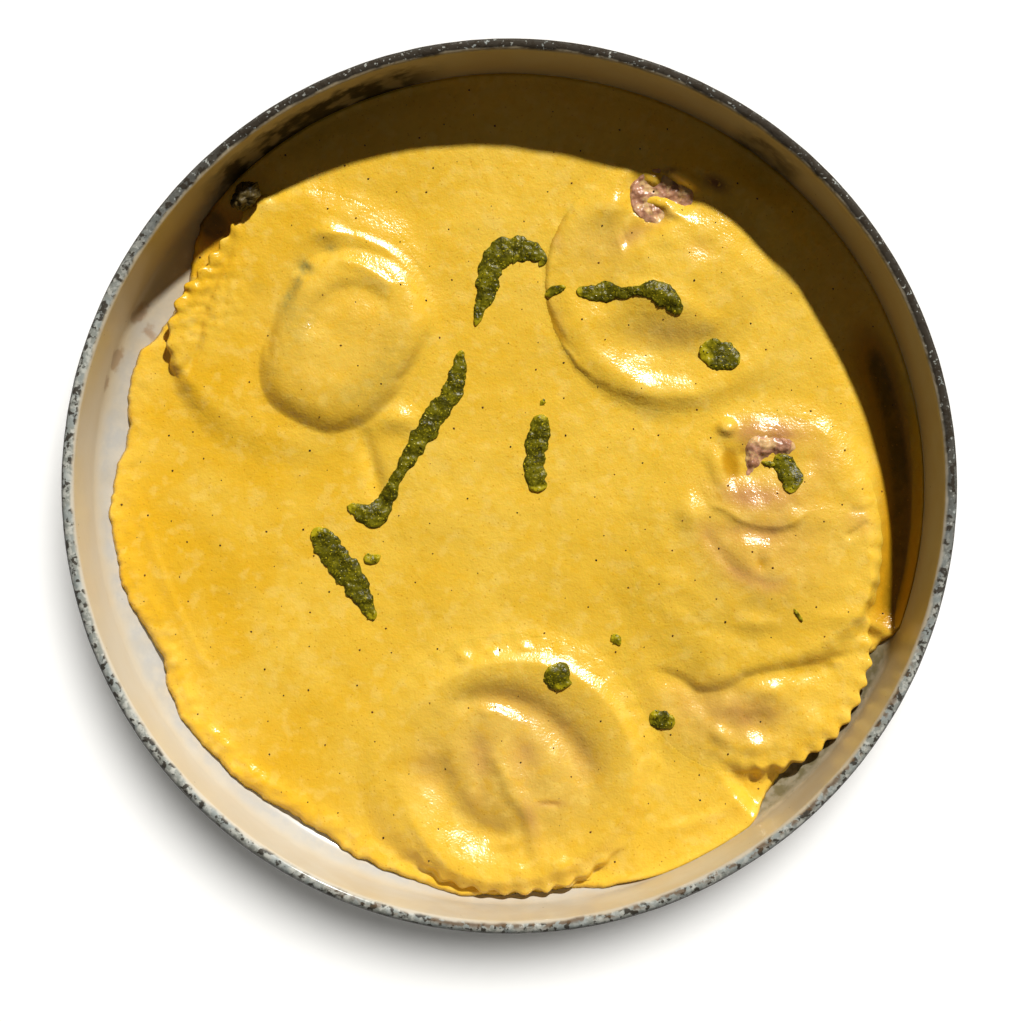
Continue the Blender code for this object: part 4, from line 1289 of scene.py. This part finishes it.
class DISH_OT_sauce(bpy.types.Operator):
    """Make the pool of sauce"""

    bl_idname = "dish.sauce"
    bl_label = "Sauce"

    def execute(self, context):
        rings = context.scene.dish_sizes.sauce_rings
        direction, share = disc_places(rings)
        reach = shore_reach(direction)
        # Rings lie closer together where the edge curves down.
        radius = reach * share - 1.6 * (share**14) * (1 - share) * 12
        turn = np.radians(direction)
        x, y = radius * np.cos(turn), radius * np.sin(turn)
        z = sunk_under_others(x, y, food_top(x, y), -1)
        z = np.maximum(z, bowl_inside(radius) + 2 * SAUCE_GAP)
        side = 2 * rings + 1
        top = np.stack((x, y, z), -1).reshape(-1, 3)
        edge = border_ring(side)
        edge_turn, edge_reach = np.radians(direction.reshape(-1)[edge]), reach.reshape(-1)[edge]
        below = []
        for inset in SAUCE_INSETS:
            r = edge_reach - inset
            height = bowl_inside(r) + SAUCE_GAP
            below.append(np.stack((r * np.cos(edge_turn), r * np.sin(edge_turn), height), -1))
        points = np.vstack((top, *below, (0.0, 0.0, FLOOR_HEIGHT + SAUCE_GAP)))
        count = len(edge)
        rounds = [np.arange(count) + side * side + k * count for k in range(len(SAUCE_INSETS))]
        numbers = np.vstack((edge, *rounds))
        pairs = zip(numbers, numbers[1:])
        skirt = [np.stack((a, np.roll(a, -1), np.roll(b, -1), b), -1) for a, b in pairs]
        faces = [grid_faces(side, side, closed=False), *skirt, fan_faces(numbers[-1], len(points) - 1)]
        marks = marks_at(POOL_MARKS, points[:, 0], points[:, 1])
        finish = finish_of(creamy_sauce, context)
        sauce = turned_outwards(made_object("sauce_pool", points, faces, finish, marks))
        ready(sauce, "yellow_sauce", "sauce")
        return {"FINISHED"}


# Ravioli ----------------------------------------------------------------------------------------
EDGE_ROUNDING = 0.8  # radius of a bare edge


def raviolo_points(raviolo, own, turns, rings):
    """Rings of points from the middle of the top, over the edge, to the middle below."""
    direction = np.arange(turns) * 360.0 / turns
    turn = np.radians(direction)
    bare = np.clip(around(direction, raviolo.bare), 0.0, 1.0)
    outline = raviolo.outline(direction)
    mid_x, mid_y = raviolo.middle

    def ring(reach):
        return mid_x + reach * np.cos(turn), mid_y + reach * np.sin(turn)

    made = []
    for share in np.linspace(0.0, 1.0, rings + 1)[1:]:
        share = share - 0.25 * share * (1 - share) * share**2
        fluted = raviolo.outline(direction, share**9)
        x, y = ring((fluted - EDGE_ROUNDING * bare) * share)
        made.append(np.stack((x, y, food_top(x, y, own)), -1))
    for over in np.linspace(0.0, 1.0, 9)[1:]:
        curl = over * math.pi / 2
        out = over * TUCK * (1 - bare) - EDGE_ROUNDING * (1 - math.sin(curl)) * bare
        x, y = ring(outline + out)
        dip = 0.35 * np.maximum(SEAM + out, 0.0) ** 2 * (1 - bare)
        drop = EDGE_ROUNDING * (1 - math.cos(curl)) * bare
        made.append(np.stack((x, y, food_top(x, y, own) - dip - drop), -1))
    for ring_points in made:
        ring_points[:, 2] = sunk_under_others(*ring_points.T, own)
    x, y, z = made[-1].T
    lower = np.minimum(z - 0.25, 0.5 * (z + raviolo.underside(x, y)))
    made.append(np.stack((x, y, lower), -1))
    for share in (0.975, 0.8, 0.62, 0.48, 0.36, 0.24, 0.12):
        x, y = ring(raviolo.outline(direction, share**9) * share)
        under = np.minimum(raviolo.underside(x, y), made[-1][:, 2] + 5.0)
        made.append(np.stack((x, y, under), -1))
    return np.array(made)


class DISH_OT_ravioli(bpy.types.Operator):
    """Make the coated ravioli"""

    bl_idname = "dish.ravioli"
    bl_label = "Ravioli"

    def execute(self, context):
        sizes = context.scene.dish_sizes
        finish = finish_of(creamy_sauce, context)
        for own, raviolo in enumerate(LAYERS):
            rings = raviolo_points(raviolo, own, sizes.raviolo_turns, sizes.raviolo_rings)
            points, faces = capped_rings(rings)
            u, v = points[:, 0] - raviolo.middle[0], points[:, 1] - raviolo.middle[1]
            name = raviolo.node.replace("ravioli", "raviolo")
            made = made_object(name, points, faces, finish, marks_at(raviolo.marks, u, v))
            ready(turned_outwards(made), "coated_pasta", raviolo.node)
        return {"FINISHED"}


# Filling ----------------------------------------------------------------------------------------
# Level of the mince over the pool, and its chunks, from the raviolo's middle.
FILLINGS = (
    ("filling_upper_right", UPPER_RIGHT, 0.55, (
        mound(0.5, (-11.6, 23.0), 2.6, 4.6, 8),
        mound(0.7, (-8.8, 29.0), 3.0, 1.8, -15),
        mound(0.7, (3.0, 22.6), 2.4, 4.4, 32),
        mound(0.5, (-1.6, 23.4), 3.2, 2.0),
        mound(0.4, (-8.6, 17.4), 2.2, 1.6),
    )),
    ("filling_right", RIGHT, 0.7, (
        mound(2.2, (-0.2, 24.6), 6.6, 3.8, -6, steep=2.6),
        mound(1.4, (7.0, 24.2), 2.8, 2.4, steep=2.6),
        mound(1.3, (-1.8, 19.8), 1.8, 1.6),
        mound(1.1, (-3.6, 17.0), 1.5, 1.3),
        mound(0.9, (1.2, 17.6), 1.3, 1.1),
    )),
)  # fmt: skip
FILLING_TURNS = 192
FILLING_RINGS = 60


def filling_place(node):
    """Middle of a lump of mince and half its size, in millimetres."""
    low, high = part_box(node)
    return np.array(low + high) / 2 / MM, np.array(high - low) / 2 / MM


def filling_height(filling, x, y, seed):
    """Height of one lump of mince, and how far out a place lies in it as a share."""
    node, raviolo, level, chunks = filling
    middle, half = filling_place(node)
    share = np.hypot((x - middle[0]) / half[0], (y - middle[1]) / half[1])
    height = POOL_LEVEL + level + 0.45 * waves(x, y, 2.6, seed) + 0.22 * waves(x, y, 1.2, seed + 5)
    for chunk in chunks:
        height = height + chunk(x - raviolo.middle[0], y - raviolo.middle[1])
    return height - 1.2 * ramp(0.86, 1.02, share), share


class DISH_OT_filling(bpy.types.Operator):
    """Make the minced filling that shows in the tears"""

    bl_idname = "dish.filling"
    bl_label = "Filling"

    def execute(self, context):
        finish = finish_of(minced_filling, context)
        turn = np.arange(FILLING_TURNS) * 2 * math.pi / FILLING_TURNS
        rings = FILLING_RINGS
        shares = [*np.linspace(1 / rings, 1.04, rings), 1.03, 0.6, 0.2]
        for seed, filling in enumerate(FILLINGS):
            node = filling[0]
            middle, half = filling_place(node)
            made = []
            for k, share in enumerate(shares):
                x = middle[0] + half[0] * share * np.cos(turn)
                y = middle[1] + half[1] * share * np.sin(turn)
                z, _ = filling_height(filling, x, y, seed)
                if k >= rings:  # The last rings lie under the lump.
                    z = np.minimum(z, made[rings - 1][:, 2].min()) - 0.6
                made.append(np.stack((x, y, z), -1))
            points, faces = capped_rings(np.array(made))
            lump = turned_outwards(made_object("minced_" + node, points, faces, finish))
            ready(lump, "pink_filling", node)
        return {"FINISHED"}


# Herb oil ---------------------------------------------------------------------------------------
# Streaks of herb oil, each a line of points (x, y, half width) over the dish.
HERB_OIL = {
    "herb_oil_arch": (
        (8.6, 55.6, 0.6), (9.3, 57.5, 1.6), (6.0, 59.6, 2.9), (0.6, 60.0, 4.0), (-3.6, 55.6, 3.4),
        (-5.0, 49.0, 2.6), (-6.8, 44.5, 1.5), (-7.8, 40.8, 0.6),
    ),
    "herb_oil_long": (
        (-11.4, 34.8, 0.9), (-12.4, 29.5, 2.3), (-14.3, 23.5, 2.8), (-18.0, 19.0, 3.0),
        (-21.5, 13.5, 2.9), (-25.2, 8.0, 2.2), (-28.6, 2.4, 1.6), (-31.2, -2.6, 2.4),
        (-34.4, -6.8, 3.4), (-38.6, -5.0, 2.0), (-41.0, -4.2, 0.8),
    ),
    "herb_oil_left": (
        (-49.6, -9.6, 1.6), (-46.6, -13.2, 3.6), (-43.2, -18.4, 3.7), (-39.6, -23.2, 3.8),
        (-37.2, -28.0, 2.4), (-34.6, -32.8, 1.3),
    ),
    "herb_oil_middle": (
        (8.4, 18.2, 1.8), (7.8, 13.6, 3.0), (6.6, 8.6, 2.9), (6.6, 3.6, 3.0), (7.4, -1.4, 2.2),
    ),
    "herb_oil_on_upper_right": (
        (17.8, 49.2, 1.2), (22.0, 48.6, 2.2), (26.0, 48.8, 2.6), (30.0, 48.2, 1.6), (33.4, 48.8, 1.4),
        (37.6, 48.6, 3.0), (41.2, 46.0, 2.8), (43.8, 42.6, 1.4),
    ),
    "herb_oil_drop": ((48.4, 33.0, 2.0), (52.0, 32.8, 4.2), (56.0, 31.4, 3.6), (58.6, 30.2, 1.6)),
    "herb_oil_front": ((9.4, -45.2, 2.6), (11.4, -48.2, 4.0), (12.4, -51.2, 2.6)),
    "herb_oil_in_hollow": ((67.2, 6.8, 1.2), (69.6, 3.8, 3.2), (70.8, 0.4, 2.9), (70.4, -3.0, 1.2)),
    "herb_oil_on_lower_right": ((34.4, -57.6, 1.4), (37.2, -59.4, 2.7), (40.6, -60.2, 1.6)),
}  # fmt: skip
HERB_BITS = {
    "herb_bit_at_the_edge": ((9.9, 48.0, 0.9), (12.4, 49.4, 1.3), (15.2, 50.2, 0.6)),
    "herb_bit_in_the_pool": ((8.2, 20.6, 0.6), (8.9, 21.3, 0.9), (9.6, 21.2, 0.5)),
    "herb_bit_in_front": ((24.8, -39.2, 0.8), (26.0, -38.8, 1.3), (27.2, -40.4, 0.7)),
    "herb_bit_of_the_hollow": ((63.6, 5.2, 0.4), (65.2, 4.6, 0.7), (67.6, 4.4, 0.7)),
    "herb_bit_left": ((-37.0, -17.0, 1.5), (-34.6, -17.6, 1.4), (-32.8, -16.6, 0.7)),
    "herb_sliver": ((70.8, -31.9, 0.4), (71.8, -33.6, 0.5), (72.9, -35.2, 0.5)),
}  # fmt: skip
HERB_OIL_THICKNESS = 0.9
STREAK_ROW = 0.25  # distance between rows of points along a streak
STREAK_HALF_ROUND = 25  # points from side to side over a streak
STREAK_TAPER = 1.2  # length of a streak's rounded ends


def dressed_top(x, y):
    """Height of the food with the filling that stands over it."""
    height = food_top(x, y)
    for seed, filling in enumerate(FILLINGS):
        raised, share = filling_height(filling, x, y, seed)
        height = np.where(share < 1.0, np.maximum(height, raised), height)
    return height


def herb_streak_points(line, seed):
    """A lumpy flattened streak that follows the food below it: rows along it, columns round it.

    Also gives how clear the oil is there.
    """
    path = smooth_line(line, 14)
    steps = np.hypot(*np.diff(path[:, :2], axis=0).T)
    gone = np.concatenate(((0.0,), np.cumsum(steps)))
    rows = max(24, int(gone[-1] / STREAK_ROW))
    at = np.linspace(0, gone[-1], rows)
    x, y, half = (np.interp(at, gone, path[:, k]) for k in range(3))
    ahead_x, ahead_y = np.gradient(x), np.gradient(y)
    length = np.hypot(ahead_x, ahead_y)
    side_x, side_y = -ahead_y / length, ahead_x / length
    to_end = np.minimum(at, at[-1] - at)
    ends = np.sqrt(np.clip(1 - (1 - to_end / STREAK_TAPER) ** 2, 0.02, 1))
    ends = np.where(to_end < STREAK_TAPER, ends, 1.0)
    steps_round = STREAK_HALF_ROUND - 1
    turn = np.arange(2 * steps_round) * math.pi / steps_round
    out, up = np.cos(turn)[None, :], np.sin(turn)[None, :]
    left = 0.92 + 0.30 * waves(at, 0 * at, 3.0, seed) + 0.10 * waves(at, 0 * at, 1.1, seed + 1)
    right = 0.92 + 0.30 * waves(at, 0 * at, 3.0, seed + 2) + 0.10 * waves(at, 0 * at, 1.1, seed + 3)
    wide = (half * ends)[:, None] * np.where(out > 0, left[:, None], right[:, None])
    px = x[:, None] + side_x[:, None] * wide * out
    py = y[:, None] + side_y[:, None] * wide * out
    base = dressed_top(px, py)
    lumps = 0.30 * grains(px, py, 1.7, seed) + 0.16 * grains(px, py, 0.8, seed + 5) - 0.1
    lumps = lumps + 0.25 * waves(px, py, 2.4, seed)
    rise = np.clip(up, 0, 1) ** 0.6
    thick = HERB_OIL_THICKNESS * np.minimum(1.0, 0.45 + half / 4.0)[:, None]
    pz = base + rise * (thick * 0.6 + lumps * ends[:, None]) + np.minimum(up, 0) * 0.5 - 0.05
    clear = 0.75 * bell(to_end, 2.6) + 0.55 * waves(at, 0 * at, 6.0, seed + 4)
    return np.stack((px, py, pz), -1), np.broadcast_to(clear[:, None], px.shape)


def herb_streaks():
    """Name, points and clearness of every streak and bit of herb oil."""
    for order, (name, line) in enumerate((HERB_OIL | HERB_BITS).items()):
        yield name, *herb_streak_points(line, 30 + 7 * order)


class DISH_OT_herb_oil(bpy.types.Operator):
    """Make the streaks of herb oil"""

    bl_idname = "dish.herb_oil"
    bl_label = "Herb oil"

    def execute(self, context):
        finish = finish_of(herb_oil, context)
        for node, grid, clear in herb_streaks():
            points, faces = capped_rings(grid)
            marks = {"clear": np.concatenate((clear.reshape(-1), (clear[0, 0], clear[-1, 0])))}
            streak = made_object(node.replace("herb_oil", "herb_streak"), points, faces, finish, marks)
            ready(turned_outwards(streak), "herb_oil", *([node] if node in HERB_OIL else []))
        return {"FINISHED"}


# Lump baked onto the wall -----------------------------------------------------------------------
LUMP_PLACE = (-65.0, 74.4, 17.0)
LUMP_HALF = (4.0, 2.9, 2.6)
LUMP_TURN = 48.0  # degrees


class DISH_OT_baked_lump(bpy.types.Operator):
    """Make the dark lump baked onto the wall"""

    bl_idname = "dish.baked_lump"
    bl_label = "Baked lump"

    def execute(self, context):
        bm = bmesh.new()
        bmesh.ops.create_icosphere(bm, subdivisions=5, radius=1.0)
        turn = math.radians(LUMP_TURN)
        for vertex in bm.verts:
            a, b, c = vertex.co
            rough = 1.0 + 0.22 * float(waves(a * 3 + c, b * 3 - c, 1.0, 81))
            rough += 0.10 * float(waves(a * 8 + c * 4, b * 8, 1.0, 82))
            a, b, c = (part * rough * half for part, half in zip((a, b, c), LUMP_HALF))
            x, y = a * math.cos(turn) - b * math.sin(turn), a * math.sin(turn) + b * math.cos(turn)
            vertex.co = (Vector((x, y, c)) + Vector(LUMP_PLACE)) * MM
        mesh = bpy.data.meshes.new("baked_lump")
        bm.to_mesh(mesh)
        bm.free()
        mesh.shade_smooth()
        mesh.materials.append(finish_of(baked_on, context))
        lump = bpy.data.objects.new("baked_lump", mesh)
        context.scene.collection.objects.link(lump)
        ready(lump, "yellow_sauce")
        return {"FINISHED"}


# Scattered bits ---------------------------------------------------------------------------------
class Nodes:
    """Builds a tree of geometry nodes that scatters bits over a surface."""

    def __init__(self, name, settings):
        self.tree = bpy.data.node_groups.new(name, "GeometryNodeTree")
        self.tree.interface.new_socket("Surface", in_out="INPUT", socket_type="NodeSocketGeometry")
        for setting, kind in settings.items():
            self.tree.interface.new_socket(setting, in_out="INPUT", socket_type="NodeSocket" + kind)
        self.tree.interface.new_socket("Bits", in_out="OUTPUT", socket_type="NodeSocketGeometry")
        self.given = self.tree.nodes.new("NodeGroupInput").outputs

    def add(self, kind, settings, inputs, out=0):
        """Adds a node, sets it up and feeds its inputs by name or number with sockets or values."""
        made = self.tree.nodes.new(kind)
        for key, value in settings.items():
            setattr(made, key, value)
        for key, value in inputs.items():
            if isinstance(value, bpy.types.NodeSocket):
                self.tree.links.new(value, made.inputs[key])
            else:
                made.inputs[key].default_value = value
        return made.outputs[out]

    def random(self, low, high, seed, kind="FLOAT"):
        """A random number for each bit, or three if low and high are triples."""
        first, out = {"FLOAT_VECTOR": (0, 0), "FLOAT": (2, 1)}[kind]
        inputs = {first: low, first + 1: high, "Seed": seed}
        return self.add("FunctionNodeRandomValue", {"data_type": kind}, inputs, out)


def scatter_tree():
    """Angular bits lying on a surface, spaced evenly and turned and sized at random."""
    settings = {
        "Spacing": "Float", "Density": "Float", "Smallest": "Float", "Largest": "Float",
        "Proportions": "Vector", "Seed": "Int", "Finish": "Material",
    }  # fmt: skip
    n = Nodes("scatter_bits", settings)
    given = n.given
    places = n.add(
        "GeometryNodeDistributePointsOnFaces", {"distribute_method": "POISSON"},
        {"Mesh": given["Surface"], "Distance Min": given["Spacing"], "Density Max": given["Density"],
         "Seed": given["Seed"]},
    )  # fmt: skip
    lying = places.node.outputs["Rotation"]
    ball = n.add("GeometryNodeMeshIcoSphere", {}, {"Radius": 0.5, "Subdivisions": 2})
    rough = n.random((-0.09,) * 3, (0.09,) * 3, 5, "FLOAT_VECTOR")
    bit = n.add("GeometryNodeSetPosition", {}, {"Geometry": ball, "Offset": rough})
    bit = n.add("GeometryNodeTransform", {}, {"Geometry": bit, "Scale": given["Proportions"]})
    tilt = n.random((-0.5, -0.5, 0.0), (0.5, 0.5, 6.283), given["Seed"], "FLOAT_VECTOR")
    tilt = n.add("FunctionNodeEulerToRotation", {}, {0: tilt})
    turned = n.add("FunctionNodeRotateRotation", {"rotation_space": "LOCAL"}, {0: lying, 1: tilt})
    size = n.random(given["Smallest"], given["Largest"], given["Seed"])
    bits = n.add(
        "GeometryNodeInstanceOnPoints", {},
        {"Points": places, "Instance": bit, "Rotation": turned, "Scale": size},
    )  # fmt: skip
    real = n.add("GeometryNodeRealizeInstances", {}, {"Geometry": bits})
    done = n.add("GeometryNodeSetMaterial", {}, {"Geometry": real, "Material": given["Finish"]})
    n.add("NodeGroupOutput", {}, {"Bits": done}, slice(0))
    return n.tree


def scattered_on(name, surface, finish, settings):
    """Scatters bits on a surface object, which is then removed, and makes them one plain mesh."""
    tree = bpy.data.node_groups.get("scatter_bits") or scatter_tree()
    modifier = surface.modifiers.new("scatter", "NODES")
    modifier.node_group = tree
    settings = settings | {"Finish": finish}
    for item in tree.interface.items_tree:
        if item.in_out == "INPUT" and item.name in settings:
            modifier[item.identifier] = settings[item.name]
    bpy.context.view_layer.update()
    evaluated = surface.evaluated_get(bpy.context.evaluated_depsgraph_get())
    mesh = bpy.data.meshes.new_from_object(evaluated)
    mesh.name = name
    bpy.data.objects.remove(surface)
    made = bpy.data.objects.new(name, mesh)
    bpy.context.scene.collection.objects.link(made)
    return made


def open_surface(name, x, y, z, kept):
    """A surface over a grid of places, without those that aren't kept."""
    rows, columns = x.shape
    quads = grid_faces(rows, columns, closed=False)
    quads = quads[kept.reshape(-1)[quads].all(axis=1)]
    points = np.stack((x, y, z), -1).reshape(-1, 3)
    return made_object(name, points, [quads], bpy.data.materials[0])


class DISH_OT_herb_flakes(bpy.types.Operator):
    """Scatter chopped leaf on the herb oil"""

    bl_idname = "dish.herb_flakes"
    bl_label = "Herb flakes"

    def execute(self, context):
        sizes = context.scene.dish_sizes
        points, quads, count = [], [], 0
        for _, grid, _ in herb_streaks():
            upper = grid[:, 2 : grid.shape[1] // 2 - 1]
            points.append(upper.reshape(-1, 3))
            quads.append(grid_faces(*upper.shape[:2], closed=False) + count)
            count += len(points[-1])
        finish = finish_of(leaf_flake, context)
        surface = made_object("herb_surface", np.vstack(points), quads, finish)
        length = sizes.flake_length
        settings = {
            "Spacing": length, "Density": 9.0e5, "Smallest": 0.40 * length, "Largest": length,
            "Proportions": (1.0, 0.6, 0.25), "Seed": sizes.flake_seed,
        }  # fmt: skip
        ready(scattered_on("herb_flakes", surface, finish, settings), "herb_oil")
        return {"FINISHED"}


PEPPER_REACH = 104.0  # half the size of the grid that pepper falls on
PEPPER_GRID = 0.8
PEPPER_SHORE = 2.0  # distance kept from the sauce's edge


class DISH_OT_pepper(bpy.types.Operator):
    """Scatter pepper over the food"""

    bl_idname = "dish.pepper"
    bl_label = "Pepper"

    def execute(self, context):
        sizes = context.scene.dish_sizes
        side = np.arange(-PEPPER_REACH, PEPPER_REACH + 0.5, PEPPER_GRID)
        x, y = np.meshgrid(side, side, indexing="ij")
        radius, direction = np.hypot(x, y), np.degrees(np.arctan2(y, x))
        z = dressed_top(x.reshape(-1), y.reshape(-1)).reshape(x.shape)
        kept = radius < shore_reach(direction) - PEPPER_SHORE
        finish = finish_of(pepper, context)
        surface = open_surface("food_surface", x, y, z, kept)
        settings = {
            "Spacing": sizes.pepper_spacing, "Density": 2.0e4, "Smallest": 0.22 * MM,
            "Largest": 0.62 * MM, "Proportions": (1.0, 0.85, 0.7), "Seed": sizes.pepper_seed,
        }  # fmt: skip
        ready(scattered_on("pepper_specks", surface, finish, settings), "yellow_sauce")
        return {"FINISHED"}


# Stage ------------------------------------------------------------------------------------------
CAMERA_DISTANCE = 660.0
CAMERA_LEAN = 2.0  # degrees from straight above, towards the front
CAMERA_VIEW = 249.7  # width of what it sees at the rim
CAMERA_AIM = (0.3, -6.6, 0.0)  # what it looks at, from the middle of the rim
LIGHT_DIRECTION = 65.0  # degrees, 90 is the back of the dish
LIGHT_COLOUR = (1.0, 0.985, 0.95)
# Name: (strength, width in degrees, elevation in degrees).
DISH_LIGHT = ("key_light", 4.75, 2.5, 42.8)
FLOOR_LIGHT = ("floor_light", 3.4, 24.0, 68.0)
SKY_COLOUR = (1.0, 0.93, 0.76, 1.0)
SKY_STRENGTH = 0.060
FLOOR_HALF = 1500.0
FLOOR_DROP = 0.05  # how far the floor lies below the foot


def distant_light(name, energy, width, elevation, receivers):
    """A distant lamp from the back right, width degrees across, that lights only its receivers."""
    lamp = bpy.data.lights.new(name, "SUN")
    lamp.energy = energy
    lamp.angle = math.radians(width)
    lamp.color = LIGHT_COLOUR
    made = bpy.data.objects.new(name, lamp)
    across, up = math.radians(LIGHT_DIRECTION), math.radians(elevation)
    towards = Vector((math.cos(across) * math.cos(up), math.sin(across) * math.cos(up), math.sin(up)))
    made.rotation_euler = towards.to_track_quat("Z", "Y").to_euler()
    made.light_linking.receiver_collection = receivers
    bpy.context.scene.collection.objects.link(made)


class DISH_OT_stage(bpy.types.Operator):
    """Make the floor, the lights and the camera"""

    bl_idname = "dish.stage"
    bl_label = "Stage"

    def execute(self, context):
        scene = context.scene
        signs = ((-1, -1), (1, -1), (1, 1), (-1, 1))
        corners = np.array([(a * FLOOR_HALF, b * FLOOR_HALF, -FLOOR_DROP) for a, b in signs])
        floor = made_object("floor", corners, [np.array([[0, 1, 2, 3]])], pale_floor("pale_floor"))
        floor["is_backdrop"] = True

        world = bpy.data.worlds.new("studio")
        world.use_nodes = True
        sky = world.node_tree.nodes["Background"].inputs
        sky["Color"].default_value = SKY_COLOUR
        sky["Strength"].default_value = SKY_STRENGTH
        scene.world = world

        dish = bpy.data.collections.new("lit_dish")
        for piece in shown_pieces():
            dish.objects.link(piece)
        ground = bpy.data.collections.new("lit_floor")
        ground.objects.link(floor)
        distant_light(*DISH_LIGHT, dish)
        distant_light(*FLOOR_LIGHT, ground)

        lens = bpy.data.cameras.new("camera")
        lens.sensor_width = 36.0
        lens.lens = lens.sensor_width / CAMERA_VIEW * CAMERA_DISTANCE
        lens.clip_start, lens.clip_end = 0.01, 10.0
        camera = bpy.data.objects.new("camera", lens)
        lean = math.radians(CAMERA_LEAN)
        rim_middle = Vector((0.0, 0.0, RIM_HEIGHT))
        back = Vector((0.0, -math.sin(lean), math.cos(lean)))
        camera.location = (rim_middle + back * CAMERA_DISTANCE) * MM
        looking = (rim_middle + Vector(CAMERA_AIM)) * MM - camera.location
        camera.rotation_euler = looking.to_track_quat("-Z", "Y").to_euler()
        scene.collection.objects.link(camera)
        scene.camera = camera
        scene.view_settings.view_transform = "Standard"
        return {"FINISHED"}


# Panel, registration and the whole dish ---------------------------------------------------------
MAKERS = (
    DISH_OT_bowl,
    DISH_OT_sauce,
    DISH_OT_ravioli,
    DISH_OT_filling,
    DISH_OT_herb_oil,
    DISH_OT_baked_lump,
    DISH_OT_herb_flakes,
    DISH_OT_pepper,
    DISH_OT_stage,
)


class DISH_PT_panel(bpy.types.Panel):
    """Sizes, colours and makers of the dish"""

    bl_label = "Ravioli dish"
    bl_space_type = "VIEW_3D"
    bl_region_type = "UI"
    bl_category = "Ravioli"

    def draw(self, context):
        for group in (context.scene.dish_sizes, context.scene.dish_colours):
            column = self.layout.column()
            for name in group.__annotations__:
                column.prop(group, name)
        for maker in MAKERS:
            self.layout.operator(maker.bl_idname)


CLASSES = (DISH_PG_colours, DISH_PG_sizes, *MAKERS, DISH_PT_panel)


def register():
    for cls in CLASSES:
        bpy.utils.register_class(cls)
    bpy.types.Scene.dish_colours = bpy.props.PointerProperty(type=DISH_PG_colours)
    bpy.types.Scene.dish_sizes = bpy.props.PointerProperty(type=DISH_PG_sizes)


def unregister():
    del bpy.types.Scene.dish_sizes
    del bpy.types.Scene.dish_colours
    for cls in reversed(CLASSES):
        bpy.utils.unregister_class(cls)


def main():
    register()
    for maker in MAKERS:
        group, name = maker.bl_idname.split(".")
        getattr(getattr(bpy.ops, group), name)()


if __name__ == "__main__":
    main()
